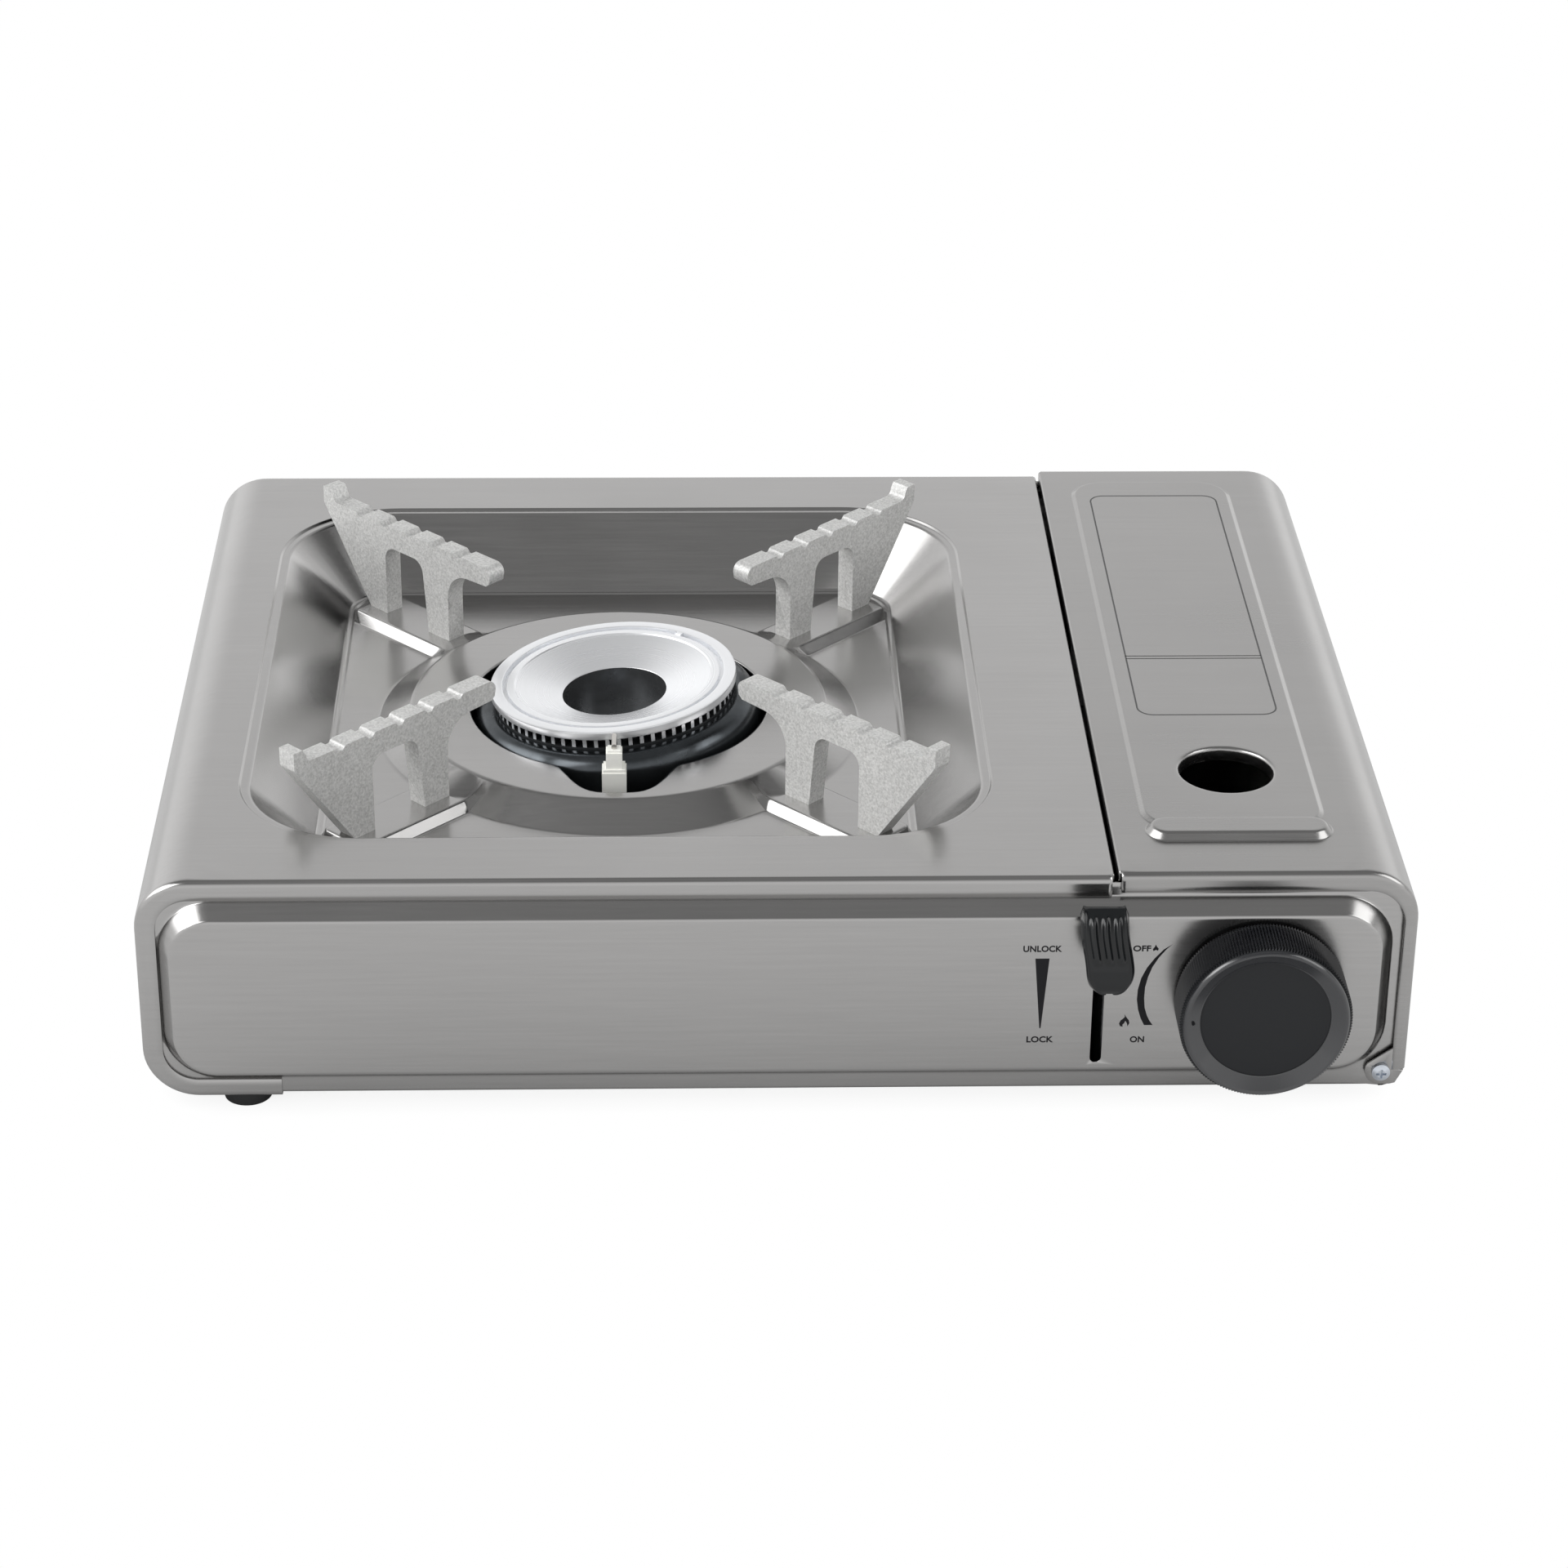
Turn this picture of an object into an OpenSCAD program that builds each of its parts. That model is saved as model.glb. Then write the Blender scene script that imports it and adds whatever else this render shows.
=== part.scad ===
// Tabletop gas stove with a cartridge bay beside the burner. All sizes are millimetres.
// The parts are drawn in the case frame: X across, Y from front to back, Z up from the
// underside of the tray. in_frame() then stands the stove on its feet over the origin.

/* [Case] */
// Width of the case across X
case_w = 370; // [360:1:390]
// Depth of the case beyond the length of the cartridge, between the rim flanges
case_more = 95; // [92:0.5:100]
// Height of the top sheet above the underside of the tray
case_h = 71.3; // [70:0.1:76]
// Thickness of the stainless sheet
sheet_t = 0.8; // [0.6:0.1:1]
// Radius of the long corners of the case
corner_r = 16; // [12:1:20]
// Radius of the bend between a sheet and its rim flange
bend_r = 2; // [1.5:0.1:2.5]
// Width of the rim flange around the front and rear openings
rim_w = 6; // [5:0.5:7]
// Length of the shell's curl under the tray
curl_len = 40; // [36:1:44]
// Play left between sheets that lie on each other
seat_gap = 0.1; // [0.05:0.05:0.2]

/* [Front and rear faces] */
// How far the pressed face stands proud of the wall
face_rise = 5.9; // [4:0.1:6.5]
// Width of the sloping border of the pressed face
face_slope = 4; // [3:0.1:4.4]
// Gap from the pressed border to the rim flange
face_gap = 0.3; // [0.2:0.1:1]
// Radius of the corners of the flat part of the face
face_r = 12; // [9:1:14]
// Height of the plain strip below the pressed border
face_foot = 5.9; // [5:0.1:8]

/* [Recess] */
// Shift of the recess to the left of the middle of the deck beside the lid
recess_shift = 3; // [1:0.5:5]
// Centre of the recess along Y
recess_y = -1.2; // [-4:0.1:2]
// Width of the recess at the top sheet
recess_w = 225; // [218:1:230]
// Depth front to back of the recess at the top sheet
recess_d = 233.5; // [228:0.5:238]
// Corner radius of the recess at the top sheet
recess_r = 38; // [34:1:42]
// Horizontal run of the sloping walls
recess_run = 24; // [20:1:26]
// Drop from the top sheet to the recess floor
recess_drop = 21.3; // [19:0.1:22]
// Radius of the soft bends at the rim and the foot of the recess wall
press_r = 3; // [2:0.5:4]

/* [Burner ring] */
// Diameter of the foot of the raised ring
ring_foot_d = 153; // [148:1:156]
// Diameter of the flat top of the ring
ring_top_d = 130.7; // [126:0.1:136]
// Height of the ring above the recess floor
ring_h = 7; // [5:0.5:8]
// Diameter of the burner opening
ring_hole_d = 94; // [92:0.5:98]
// Reach of the electrode notch from the centre of the ring
notch_reach = 60.7; // [58:0.1:62]
// Width of the electrode notch where it meets the opening
notch_w = 38; // [30:1:44]

/* [Diagonal ribs] */
// Height of the ribs above the recess floor
rib_h = 3.2; // [2.4:0.1:4]
// Width of the flat top of a rib
rib_w = 17; // [14:0.5:20]
// Width of the sloping border of a rib
rib_slope = 3; // [2:0.5:4]
// Distance from the ring's centre to the outer end of a rib
rib_end = 119; // [117:0.5:121]

/* [Pan supports] */
// Thickness of the cast plate
support_t = 6.5; // [5.5:0.5:8]
// Height of the pan plane above the underside of the tray
pan_z = 85.7; // [82:0.1:90]
// Radius of the inner tip from the burner axis
tip_r = 55.5; // [54:0.5:58]
// Radius of the outer edge from the burner axis
outer_r = 136; // [133:0.5:138]
// Height of the outer nib above the pan plane
nib_h = 4.3; // [3:0.1:6]
// Depth of the notches along the top edge
tooth_drop = 1.3; // [0.8:0.1:2]
// Width of a notch along the top edge
tooth_w = 4; // [3:0.5:5]
// Spacing of the notches along the top edge
tooth_pitch = 11.8; // [11:0.1:12]
// Inner radius of the inner leg
leg_r = 75.8; // [74:0.1:77]
// Width of the inner leg at its foot
leg_w = 9.9; // [8.5:0.1:11]
// Inner radius of the outer leg
outleg_r = 106; // [105:0.5:107]
// Width of the outer leg at its foot
outleg_w = 8; // [7.5:0.5:10]

/* [Burner] */
// Shift of the burner to the left of the recess centre
burner_shift = 1; // [0:0.5:2]
// Lean of the seated burner, right side up, in degrees
burner_lean = 4.5; // [0:0.5:5]
// Diameter of the top ring of the burner head
head_d = 78; // [76:0.5:80]
// Height of the head's top above the ring that surrounds it
head_up = 9; // [8:0.5:10]
// Thickness of the head's top ring
head_ring_t = 2.6; // [2:0.1:3.2]
// Number of flame slots
slot_count = 66; // [48:2:72]
// Height of the flame slots
slot_h = 5.2; // [4:0.1:5.6]
// Depth of the flame slots
slot_deep = 3; // [2:0.1:3.5]
// Diameter of the well in the middle of the head
well_d = 33; // [30:0.5:35]
// Diameter of the burner bowl
bowl_d = 88; // [84:0.5:89]
// Wall of the burner bowl
bowl_t = 1.2; // [1:0.1:1.5]
// Outer diameter of the mixing tube
tube_d = 17; // [15:0.5:18]
// Wall of the mixing tube
tube_t = 1.2; // [1:0.1:1.5]
// Height of the mixing tube's axis
gas_z = 30; // [29:0.5:30.5]

/* [Electrode] */
// Distance of the electrode in front of the ring's centre
electrode_out = 48.3; // [48:0.1:52]
// Width of the lower ceramic block
ceramic_w = 7.5; // [6.5:0.5:8]
// Width of the upper ceramic block
ceramic_top_w = 5; // [4:0.5:5.5]
// Height of the step in the ceramic
ceramic_step_z = 59.3; // [58:0.1:61]
// Height of the top of the ceramic
ceramic_top_z = 65.4; // [64:0.1:67]
// Diameter of the electrode wire
wire_d = 1.6; // [1.2:0.1:2]

/* [Cartridge lid] */
// Width of the cartridge side, from the split to the right side of the case
bay_w = 88; // [87:0.5:89]
// Width of the split
split_gap = 1; // [0.8:0.1:1.6]
// Height of the lid above the top sheet
lid_up = 1.5; // [1:0.1:2]
// Width of the lid's flange down its right side
lid_side_w = 4.2; // [4:0.1:5]
// Width of the raised panel on the lid
panel_w = 54; // [50:1:58]
// Left edge of the raised panel from the split
panel_in = 11; // [9:0.5:13]
// Height of the raised panel
panel_rise = 1; // [0.6:0.1:1.4]
// Diameter of the finger hole
finger_d = 28; // [24:1:30]
// Distance of the finger hole from the front of the case
finger_y = 61.3; // [58:0.1:66]
// Width of the grip bar front to back
grip_w = 12.8; // [11:0.1:14]
// Height of the grip bar
grip_rise = 2.2; // [1.5:0.1:3]
// Distance of the hinge axis from the right side of the case
hinge_in = 7.4; // [7:0.1:8]
// Height of the hinge axis
hinge_z = 6.1; // [5.6:0.1:6.6]
// Diameter of the hinge screws
hinge_d = 3; // [2.5:0.5:4]

/* [Gas valve] */
// Distance of the cartridge axis from the right side of the case
gas_in = 45.5; // [44:0.5:47]
// Height of the knob and valve axis
valve_z = 35; // [34:0.5:36]
// Diameter of the control knob
knob_d = 50; // [46:0.5:52]
// Length of the control knob
knob_len = 15.5; // [14:0.5:18]
// Gap between the knob and the pressed face
knob_gap = 1.4; // [1:0.1:2]
// Number of grip ridges on the knob
knob_ridges = 110; // [80:2:120]
// Diameter of the valve stem
stem_d = 8; // [6:0.5:9]
// Diameter of the regulator drum
drum_d = 44; // [40:1:46]
// Least radius of the igniter cam
cam_r = 13; // [12:0.5:14]
// Rise of the igniter cam over the full turn of the knob
cam_rise = 5; // [3:0.5:5.5]
// Turn of the knob from the shown place back to off, in degrees
knob_back = 30; // [20:5:40]
// Turn of the knob from the shown place on to the click, in degrees
knob_on = 60; // [45:5:70]

/* [Lock lever] */
// Place of the lever slot left of the split
lever_in = 4.3; // [4:0.1:5]
// Width of the lever slot
lever_slot_w = 3.4; // [3:0.1:4]
// Thickness of the lever plate
lever_t = 1.8; // [1.5:0.1:2]
// Height of the lever's pivot
lever_z = 14; // [13:0.5:15]
// Distance of the lever's pivot behind the front of the case
lever_back = 30.5; // [29:0.5:32]
// Length of the crank that draws the cartridge carriage
crank_len = 12; // [11:0.5:13]
// Turn of the lever from unlocked to locked, in degrees
lever_turn = 36; // [32:1:36]
// Width of the thumb tab
tab_w = 13; // [12:0.5:14]
// Running clearance of pins and stems in their holes, on the radius
run_fit = 0.06; // [0.02:0.01:0.1]

/* [Cartridge bay] */
// Diameter of the cartridge that the bay takes
cartridge_d = 68; // [66:0.5:69]
// Length of the cartridge that the bay takes
cartridge_len = 190; // [184:1:191]

/* [Feet] */
// Height of the underside of the tray above the table
foot_h = 6; // [5:0.5:8]
// Diameter of the rubber feet
foot_d = 16; // [14:0.5:18]
// Distance of the feet from the sides of the case
foot_in_x = 29; // [27:0.5:32]
// Distance of the feet from the front and rear of the case
foot_in_y = 10.5; // [10:0.5:14]
// Distance of the right front foot from the front of the case
foot_back = 26; // [24:0.5:28]

/* [Hidden] */

$fn = 64;
eps = 0.01;

steel = [0.62, 0.61, 0.6];
zinc = [0.45, 0.47, 0.5];
cast = [0.72, 0.72, 0.71];
turned = [0.82, 0.82, 0.83];
black = [0.07, 0.07, 0.08];
brass = [0.75, 0.6, 0.3];
ceramic = [0.93, 0.92, 0.88];
rubber = [0.05, 0.05, 0.05];

// Case levels and faces
case_d = cartridge_len + case_more;
left_x = -case_w / 2;
right_x = case_w / 2;
flange_y = case_d / 2;
wall_y = flange_y - sheet_t;
face_y = wall_y + face_rise;
shell_z0 = -sheet_t - seat_gap;
lid_y = flange_y + sheet_t;
lid_h = case_h + lid_up;
floor_z = case_h - recess_drop;
ring_z = floor_z + ring_h;
rib_z = floor_z + rib_h;
hinge_x = right_x - hinge_in;
tray_end_r = min(hinge_z, hinge_in - sheet_t - 0.5);
wall_top = case_h - bend_r - seat_gap;
wall_left = left_x + bend_r + seat_gap;
wall_right = hinge_x + tray_end_r;
wall_r = corner_r - bend_r - seat_gap;
split_x = right_x - bay_w;
recess_x = (left_x + split_x) / 2 - recess_shift;
burner_x = recess_x - burner_shift;
shell_end = split_x - split_gap / 2;
lid_start = split_x + split_gap / 2;
partition_x = shell_end - 2 * sheet_t - seat_gap;

// The knob is the foremost point and the rear pressed face the rearmost
frame_y = (knob_gap + knob_len) / 2;

gas_x = right_x - gas_in;
lever_x = split_x - lever_in;
lever_y = -flange_y + lever_back;
stroke = crank_len * sin(lever_turn);

// Points along a circular arc in a plane
function arc(c, r, a0, a1, n = 8) = [
    for (i = [0:n]) let (a = a0 + (a1 - a0) * i / n) c + r * [cos(a), sin(a)]
];

module in_frame() {
    translate([0, frame_y, foot_h]) children();
}

// Stands a flat outline drawn in X and Z upright, from y0 towards +Y
module upright(y0, t) {
    translate([0, y0 + t, 0]) rotate([90, 0, 0]) linear_extrude(t) children();
}

// Stands a flat outline drawn in Y and Z upright, from x0 towards +X
module sideways(x0, t) {
    translate([x0, 0, 0]) rotate([90, 0, 90]) linear_extrude(t) children();
}

module front_and_rear() {
    children();
    mirror([0, 1, 0]) children();
}

// A bar with round ends between two points of a plane
module bar(p, q, w) {
    d = q - p;
    translate(p) rotate(atan2(d[1], d[0])) translate([0, -w / 2]) square([norm(d), w]);
    translate(p) circle(d = w);
    translate(q) circle(d = w);
}

module rounded_box(x0, x1, y0, y1, r) {
    translate([x0 + r, y0]) square([x1 - x0 - 2 * r, y1 - y0]);
    translate([x0, y0 + r]) square([x1 - x0, y1 - y0 - 2 * r]);
    for (x = [x0 + r, x1 - r], y = [y0 + r, y1 - r]) translate([x, y]) circle(r);
}

// A pressed pad: flat top, even sloping border and round corners. The foot outline is
// x0..x1 by y0..y1 with corner radius r at z = 0, and the top is inset by slope at z = h.
module pad(x0, x1, y0, y1, r, slope, h) {
    for (x = [x0 + r, x1 - r], y = [y0 + r, y1 - r])
        translate([x, y, 0]) cylinder(h = h, r1 = r, r2 = r - slope);
    side = [[y0, 0], [y1, 0], [y1 - slope, h], [y0 + slope, h]];
    end = [[x0, 0], [x1, 0], [x1 - slope, h], [x0 + slope, h]];
    sideways(x0 + r, x1 - x0 - 2 * r) polygon(side);
    upright(y0 + r, y1 - y0 - 2 * r) polygon(end);
}

/* ---- Tray ---- */

// Outline of the front and rear walls
module wall_outline() {
    polygon(concat(
        arc([wall_left + wall_r, wall_r], wall_r, 180, 270),
        arc([hinge_x, hinge_z], tray_end_r, 270, 360),
        arc([wall_right - wall_r, wall_top - wall_r], wall_r, 0, 90),
        arc([wall_left + wall_r, wall_top - wall_r], wall_r, 90, 180)
    ));
}

module face_pad() {
    x0 = left_x + rim_w + face_gap;
    x1 = hinge_x + 0.4;
    z1 = case_h - rim_w - face_gap;
    translate([0, -wall_y, 0]) rotate([90, 0, 0])
        pad(x0, x1, face_foot, z1, face_r + face_slope, face_slope, face_rise);
}

module pressed_wall() {
    difference() {
        union() {
            upright(-wall_y, sheet_t) wall_outline();
            face_pad();
        }
        translate([0, sheet_t, 0]) face_pad();
    }
}

// The bend between floor and wall: rounded off outside and filled inside
module floor_bend(depth, y) {
    x0 = left_x + corner_r;
    sideways(x0, hinge_x - x0) polygon([[-y, 0], [depth - y, 0], [-y, depth]]);
}

module lever_slot() {
    upright(-face_y - 1, face_rise + sheet_t + 2)
        bar([lever_x, slot_low + lever_slot_w / 2], [lever_x, slot_high - lever_slot_w / 2],
            lever_slot_w);
}

slot_low = 12.3;
slot_high = case_h - 13.3;
vent_len = 34;
vent_w = 4;
vent_pitch = 12;
vent_out = 62;
bay_vent_y = -30;
stem_hole_d = stem_d + 6;
lip_h = 8;

module floor_vents() {
    for (side = [-1, 1], i = [-3:3])
        translate([recess_x + side * vent_out, recess_y + i * vent_pitch, -1]) linear_extrude(3)
            bar([-vent_len / 2, 0], [vent_len / 2, 0], vent_w);
    for (i = [-2:2])
        translate([gas_x, bay_vent_y + i * 2 * vent_pitch, -1]) linear_extrude(3)
            bar([-vent_len / 2, 0], [vent_len / 2, 0], vent_w);
}

foot_y = flange_y - foot_in_y;
right_feet = [[right_x - foot_in_x, -flange_y + foot_back], [right_x - foot_in_x, foot_y]];
left_feet = [[left_x + foot_in_x, -foot_y], [left_x + foot_in_x, foot_y]];

module foot_places() {
    for (p = concat(left_feet, right_feet)) translate([p[0], p[1], 0]) children();
}

foot_hole_d = 4.2;
bend_fill = 3;
bend_cut = 1.3;

module base_tray() in_frame() color(steel) {
    difference() {
        union() {
            front_and_rear() pressed_wall();
            floor_x0 = left_x + corner_r;
            translate([floor_x0, -wall_y, 0]) cube([hinge_x - floor_x0, 2 * wall_y, sheet_t]);
            front_and_rear() floor_bend(bend_fill, wall_y);
            // Round end and low lip beside the lid's hinge
            upright(-wall_y, 2 * wall_y) difference() {
                union() {
                    intersection() {
                        translate([hinge_x, hinge_z]) circle(tray_end_r);
                        translate([hinge_x, 0]) square([tray_end_r, hinge_z]);
                    }
                    translate([hinge_x, hinge_z]) square([tray_end_r, lip_h]);
                }
                translate([hinge_x, hinge_z]) circle(tray_end_r - sheet_t);
                translate([hinge_x - eps, hinge_z]) square([tray_end_r - sheet_t + eps, lip_h + 1]);
                translate([hinge_x - 1, sheet_t]) square([1, hinge_z]);
            }
        }
        front_and_rear() translate([-eps, 0, -eps]) floor_bend(bend_cut, wall_y + eps);
        floor_vents();
        foot_places() translate([0, 0, -1]) cylinder(h = 3, d = foot_hole_d);
        lever_slot();
        translate([gas_x, -face_y - 1, valve_z]) rotate([-90, 0, 0])
            cylinder(h = face_rise + 3, d = stem_hole_d);
        front_and_rear() translate([hinge_x, -wall_y - 1, hinge_z]) rotate([-90, 0, 0])
            cylinder(h = sheet_t + 2, d = hinge_d + 2 * seat_gap);
    }
}

/* ---- Top shell ---- */

// Profile in X and Z of the shell: top, left side and the curl under the tray
module shell_profile(inset) {
    x0 = left_x + inset;
    z0 = shell_z0 + inset;
    z1 = case_h - inset;
    r = corner_r - inset;
    translate([x0 + r, z0]) square([shell_end - x0 - r, z1 - z0]);
    translate([x0, z0 + r]) square([shell_end - x0, z1 - z0 - 2 * r]);
    for (z = [z0 + r, z1 - r]) translate([x0 + r, z]) circle(r);
}

// Keeps the top, the left side and the curl of the profile
module shell_reach() {
    translate([left_x - 1, case_h - corner_r]) square([shell_end - left_x + 1, corner_r + 1]);
    translate([left_x - 1, shell_z0 - 1]) square([curl_len + 1, case_h]);
}

module shell_band(inset_out, inset_in) {
    intersection() {
        difference() {
            shell_profile(inset_out);
            difference() {
                shell_profile(inset_in);
                // The band stays closed at the split, where the profile simply ends
                translate([shell_end - eps, -50]) square([50, 200]);
            }
        }
        difference() {
            shell_reach();
            translate([shell_end - eps, shell_z0 - 2]) square([5, case_h - inset_in - shell_z0 + 2]);
        }
    }
}

// Quarter bend between a sheet and its flange, drawn as radius out and depth back
module bend_section() {
    intersection() {
        difference() {
            translate([-bend_r, bend_r]) circle(bend_r);
            translate([-bend_r, bend_r]) circle(bend_r - sheet_t);
        }
        translate([-bend_r, 0]) square(bend_r);
    }
}

// The bend along a straight edge: len along +X from x0, with the sheet's face at z
module bend_straight(x0, len, z, y) {
    translate([x0, -y, z]) rotate([90, 0, 90]) linear_extrude(len)
        mirror([1, -1]) bend_section();
}

// The bend round a corner of radius r about an axis along Y, from angle a0 over 90 degrees
module bend_corner(x, z, r, a0, y) {
    translate([x, -y, z]) rotate([90, 0, 0]) rotate([0, 0, a0])
        rotate_extrude(angle = 90) translate([r, 0]) mirror([0, 1]) bend_section();
}

module shell_rim() {
    cx = left_x + corner_r;
    z_low = shell_z0 + corner_r;
    z_high = case_h - corner_r;
    bend_straight(cx, shell_end - cx, case_h, flange_y);
    bend_corner(cx, z_high, corner_r, 90, flange_y);
    bend_corner(cx, z_low, corner_r, 180, flange_y);
    // Left side: the straight bend stood on end
    translate([cx, 0, z_low]) rotate([0, -90, 0])
        bend_straight(0, z_high - z_low, corner_r, flange_y);
    // Curl: the straight bend turned over
    translate([0, 0, shell_z0]) mirror([0, 0, 1])
        bend_straight(cx, curl_len - corner_r, 0, flange_y);
    upright(-flange_y, sheet_t) shell_band(bend_r, rim_w);
}

// Solid below the pressed surface of the recess: its floor, ring and ribs
module recess_form() {
    translate([recess_x, recess_y, floor_z]) {
        rotate_extrude() polygon(ring_points);
        for (a = [45:90:315]) rotate(a) rib_form();
    }
}

ring_points = [
    [0, 0], [ring_foot_d / 2, 0], [ring_foot_d / 2 - 0.6, 0.25],
    [ring_top_d / 2 + 0.8, ring_h - 0.35], [ring_top_d / 2, ring_h], [0, ring_h]
];

module rib_form() {
    half = rib_w / 2 + rib_slope;
    start = ring_top_d / 2 - 4;
    intersection() {
        sideways(start, rib_end - start)
            polygon([[-half, 0], [half, 0], [rib_w / 2, rib_h], [-rib_w / 2, rib_h]]);
        upright(-half, 2 * half)
            polygon([[start, 0], [rib_end, 0], [rib_end - rib_slope, rib_h], [start, rib_h]]);
    }
}

// Half section of the hollow of the recess about the axis of one corner
foot_r = recess_r - recess_run;
wall_a = atan2(recess_drop, recess_run);
soft = press_r * tan(wall_a / 2);
recess_points = concat(
    [[0, 0]],
    arc([foot_r - soft, press_r], press_r, -90, wall_a - 90, 5),
    arc([recess_r + soft, recess_drop - press_r], press_r, wall_a + 90, 90, 5),
    [[0, recess_drop]]
);

module recess_hollow() {
    hx = recess_w / 2 - recess_r;
    hy = recess_d / 2 - recess_r;
    across = [for (p = recess_points) if (p[0] > 0) p];
    back = [for (i = [len(across) - 1:-1:0]) across[i]];
    translate([recess_x, recess_y, floor_z]) {
        for (x = [-hx, hx], y = [-hy, hy]) translate([x, y, 0])
            rotate_extrude() polygon(recess_points);
        upright(-hy, 2 * hy) polygon(concat(
            [for (p = across) [hx + p[0], p[1]]], [for (p = back) [-hx - p[0], p[1]]]));
        sideways(-hx, 2 * hx) polygon(concat(
            [for (p = across) [hy + p[0], p[1]]], [for (p = back) [-hy - p[0], p[1]]]));
    }
}

// Smooth outline of the opening's notch for the electrode
module notch_outline() {
    r = ring_hole_d / 2;
    deep = notch_reach - r * cos(asin(notch_w / ring_hole_d));
    inner = -r * cos(asin(notch_w / ring_hole_d));
    polygon(concat(
        [[notch_w / 2, inner + 4], [-notch_w / 2, inner + 4]],
        [for (i = [0:24]) let (s = i / 12 - 1)
            [s * notch_w / 2, inner - deep * pow(cos(s * 90), 0.7) ]]
    ));
}

window_margin = 8;

// Block over the recess with a margin all round, from z0 up to the top sheet
module recess_block(margin, z0) {
    w = recess_w + 2 * margin;
    d = recess_d + 2 * margin;
    translate([recess_x - w / 2, recess_y - d / 2, z0]) cube([w, d, case_h - z0]);
}

module pressed_top() {
    difference() {
        union() {
            difference() {
                recess_block(window_margin, floor_z - sheet_t - 4);
                recess_hollow();
            }
            recess_form();
        }
        translate([recess_x, recess_y, ring_z - 8]) {
            cylinder(h = 20, d = ring_hole_d);
            linear_extrude(20) notch_outline();
        }
    }
}

module pressed_recess() {
    difference() {
        pressed_top();
        translate([0, 0, -sheet_t]) pressed_top_full();
    }
}

module pressed_top_full() {
    difference() {
        recess_block(window_margin + 1, floor_z - sheet_t - 6);
        recess_hollow();
    }
    recess_form();
}

support_hole_d = 3.2;
split_lip = 5;

module support_places() {
    for (a = [45:90:315])
        translate([recess_x, recess_y, 0]) rotate(a)
            for (r = [leg_r + leg_w / 2, outleg_r + outleg_w / 2]) translate([r, 0, 0]) children();
}

module top_shell() in_frame() color(steel) {
    difference() {
        union() {
            difference() {
                upright(-flange_y + bend_r, 2 * (flange_y - bend_r)) shell_band(0, sheet_t);
                recess_window();
            }
            front_and_rear() shell_rim();
            pressed_recess();
            // Lip turned down along the split
            translate([shell_end - sheet_t, -flange_y + bend_r, case_h - split_lip])
                cube([sheet_t, 2 * (flange_y - bend_r), split_lip]);
        }
        foot_places() translate([0, 0, shell_z0 - 1]) cylinder(h = 3, d = foot_hole_d);
        support_places() translate([0, 0, rib_z - 3]) cylinder(h = 4, d = support_hole_d);
    }
}

// Window in the flat sheet that the pressed recess fills
module recess_window() {
    translate([0, 0, 1]) recess_block(window_margin, case_h - 3);
}

/* ---- Cartridge lid ---- */

module lid_profile(inset) {
    x1 = right_x - inset;
    z1 = lid_h - inset;
    r = corner_r - inset;
    translate([lid_start, z1 - r]) square([x1 - r - lid_start, r]);
    translate([x1 - r, hinge_z + 0.3]) square([r, z1 - r - hinge_z - 0.3]);
    translate([x1 - r, z1 - r]) intersection() {
        circle(r);
        square(r);
    }
}

// Inner edge of the lid's flange: narrower down the side than along the top
module lid_flange_window() {
    z1 = lid_h - rim_w;
    x1 = right_x - lid_side_w;
    r = corner_r - lid_side_w;
    translate([lid_start - 1, -10]) square([x1 - r - lid_start + 1, z1 + 10]);
    translate([lid_start - 1, -10]) square([x1 - lid_start + 1, z1 - r + 10]);
    translate([x1 - r, z1 - r]) circle(r);
}

lug_r = 4.6;
lid_edge_h = lid_up + bend_r - 0.4;

module lid_lug() {
    x1 = right_x;
    translate([hinge_x, hinge_z]) circle(lug_r);
    polygon([
        [x1 - lid_side_w, hinge_z + 14], [x1 - lid_side_w, hinge_z + 6.4],
        [hinge_x - lug_r * cos(45), hinge_z + lug_r * sin(45)], [hinge_x, hinge_z],
        [hinge_x, hinge_z - lug_r], [x1 - 3.8, hinge_z - 3.9], [x1, hinge_z + 0.3],
        [x1, hinge_z + 14]
    ]);
}

module lid_flange() {
    upright(-lid_y, sheet_t) {
        difference() {
            lid_profile(bend_r);
            lid_flange_window();
        }
        difference() {
            lid_lug();
            translate([hinge_x, hinge_z]) circle(d = hinge_d + 2 * run_fit);
            translate([right_x - bend_r, hinge_z]) square([bend_r + 1, 30]);
        }
    }
}

module lid_rim() {
    cx = right_x - corner_r;
    cz = lid_h - corner_r;
    bend_straight(lid_start, cx - lid_start, lid_h, lid_y);
    bend_corner(cx, cz, corner_r, 0, lid_y);
    translate([cx, 0, cz]) rotate([0, 90, 0]) mirror([1, 0, 0])
        bend_straight(-cz + hinge_z + 0.3, cz - hinge_z - 0.3, corner_r, lid_y);
    lid_flange();
}

panel_x0 = lid_start + panel_in;
panel_r = 12;
panel_border = 1.5;
grip_y = -flange_y + 25.1;
finger_x = panel_x0 + panel_w / 2;
finger_lip = 1.6;

module panel_pad() {
    translate([0, 0, lid_h])
        pad(panel_x0, panel_x0 + panel_w, grip_y + grip_w / 2 + 1, flange_y - 7.5,
            panel_r, panel_border, panel_rise);
}

module grip_pad() {
    translate([0, 0, lid_h])
        pad(panel_x0, panel_x0 + panel_w, grip_y - grip_w / 2, grip_y + grip_w / 2,
            grip_w / 2 - eps, grip_rise, grip_rise);
}

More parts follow.
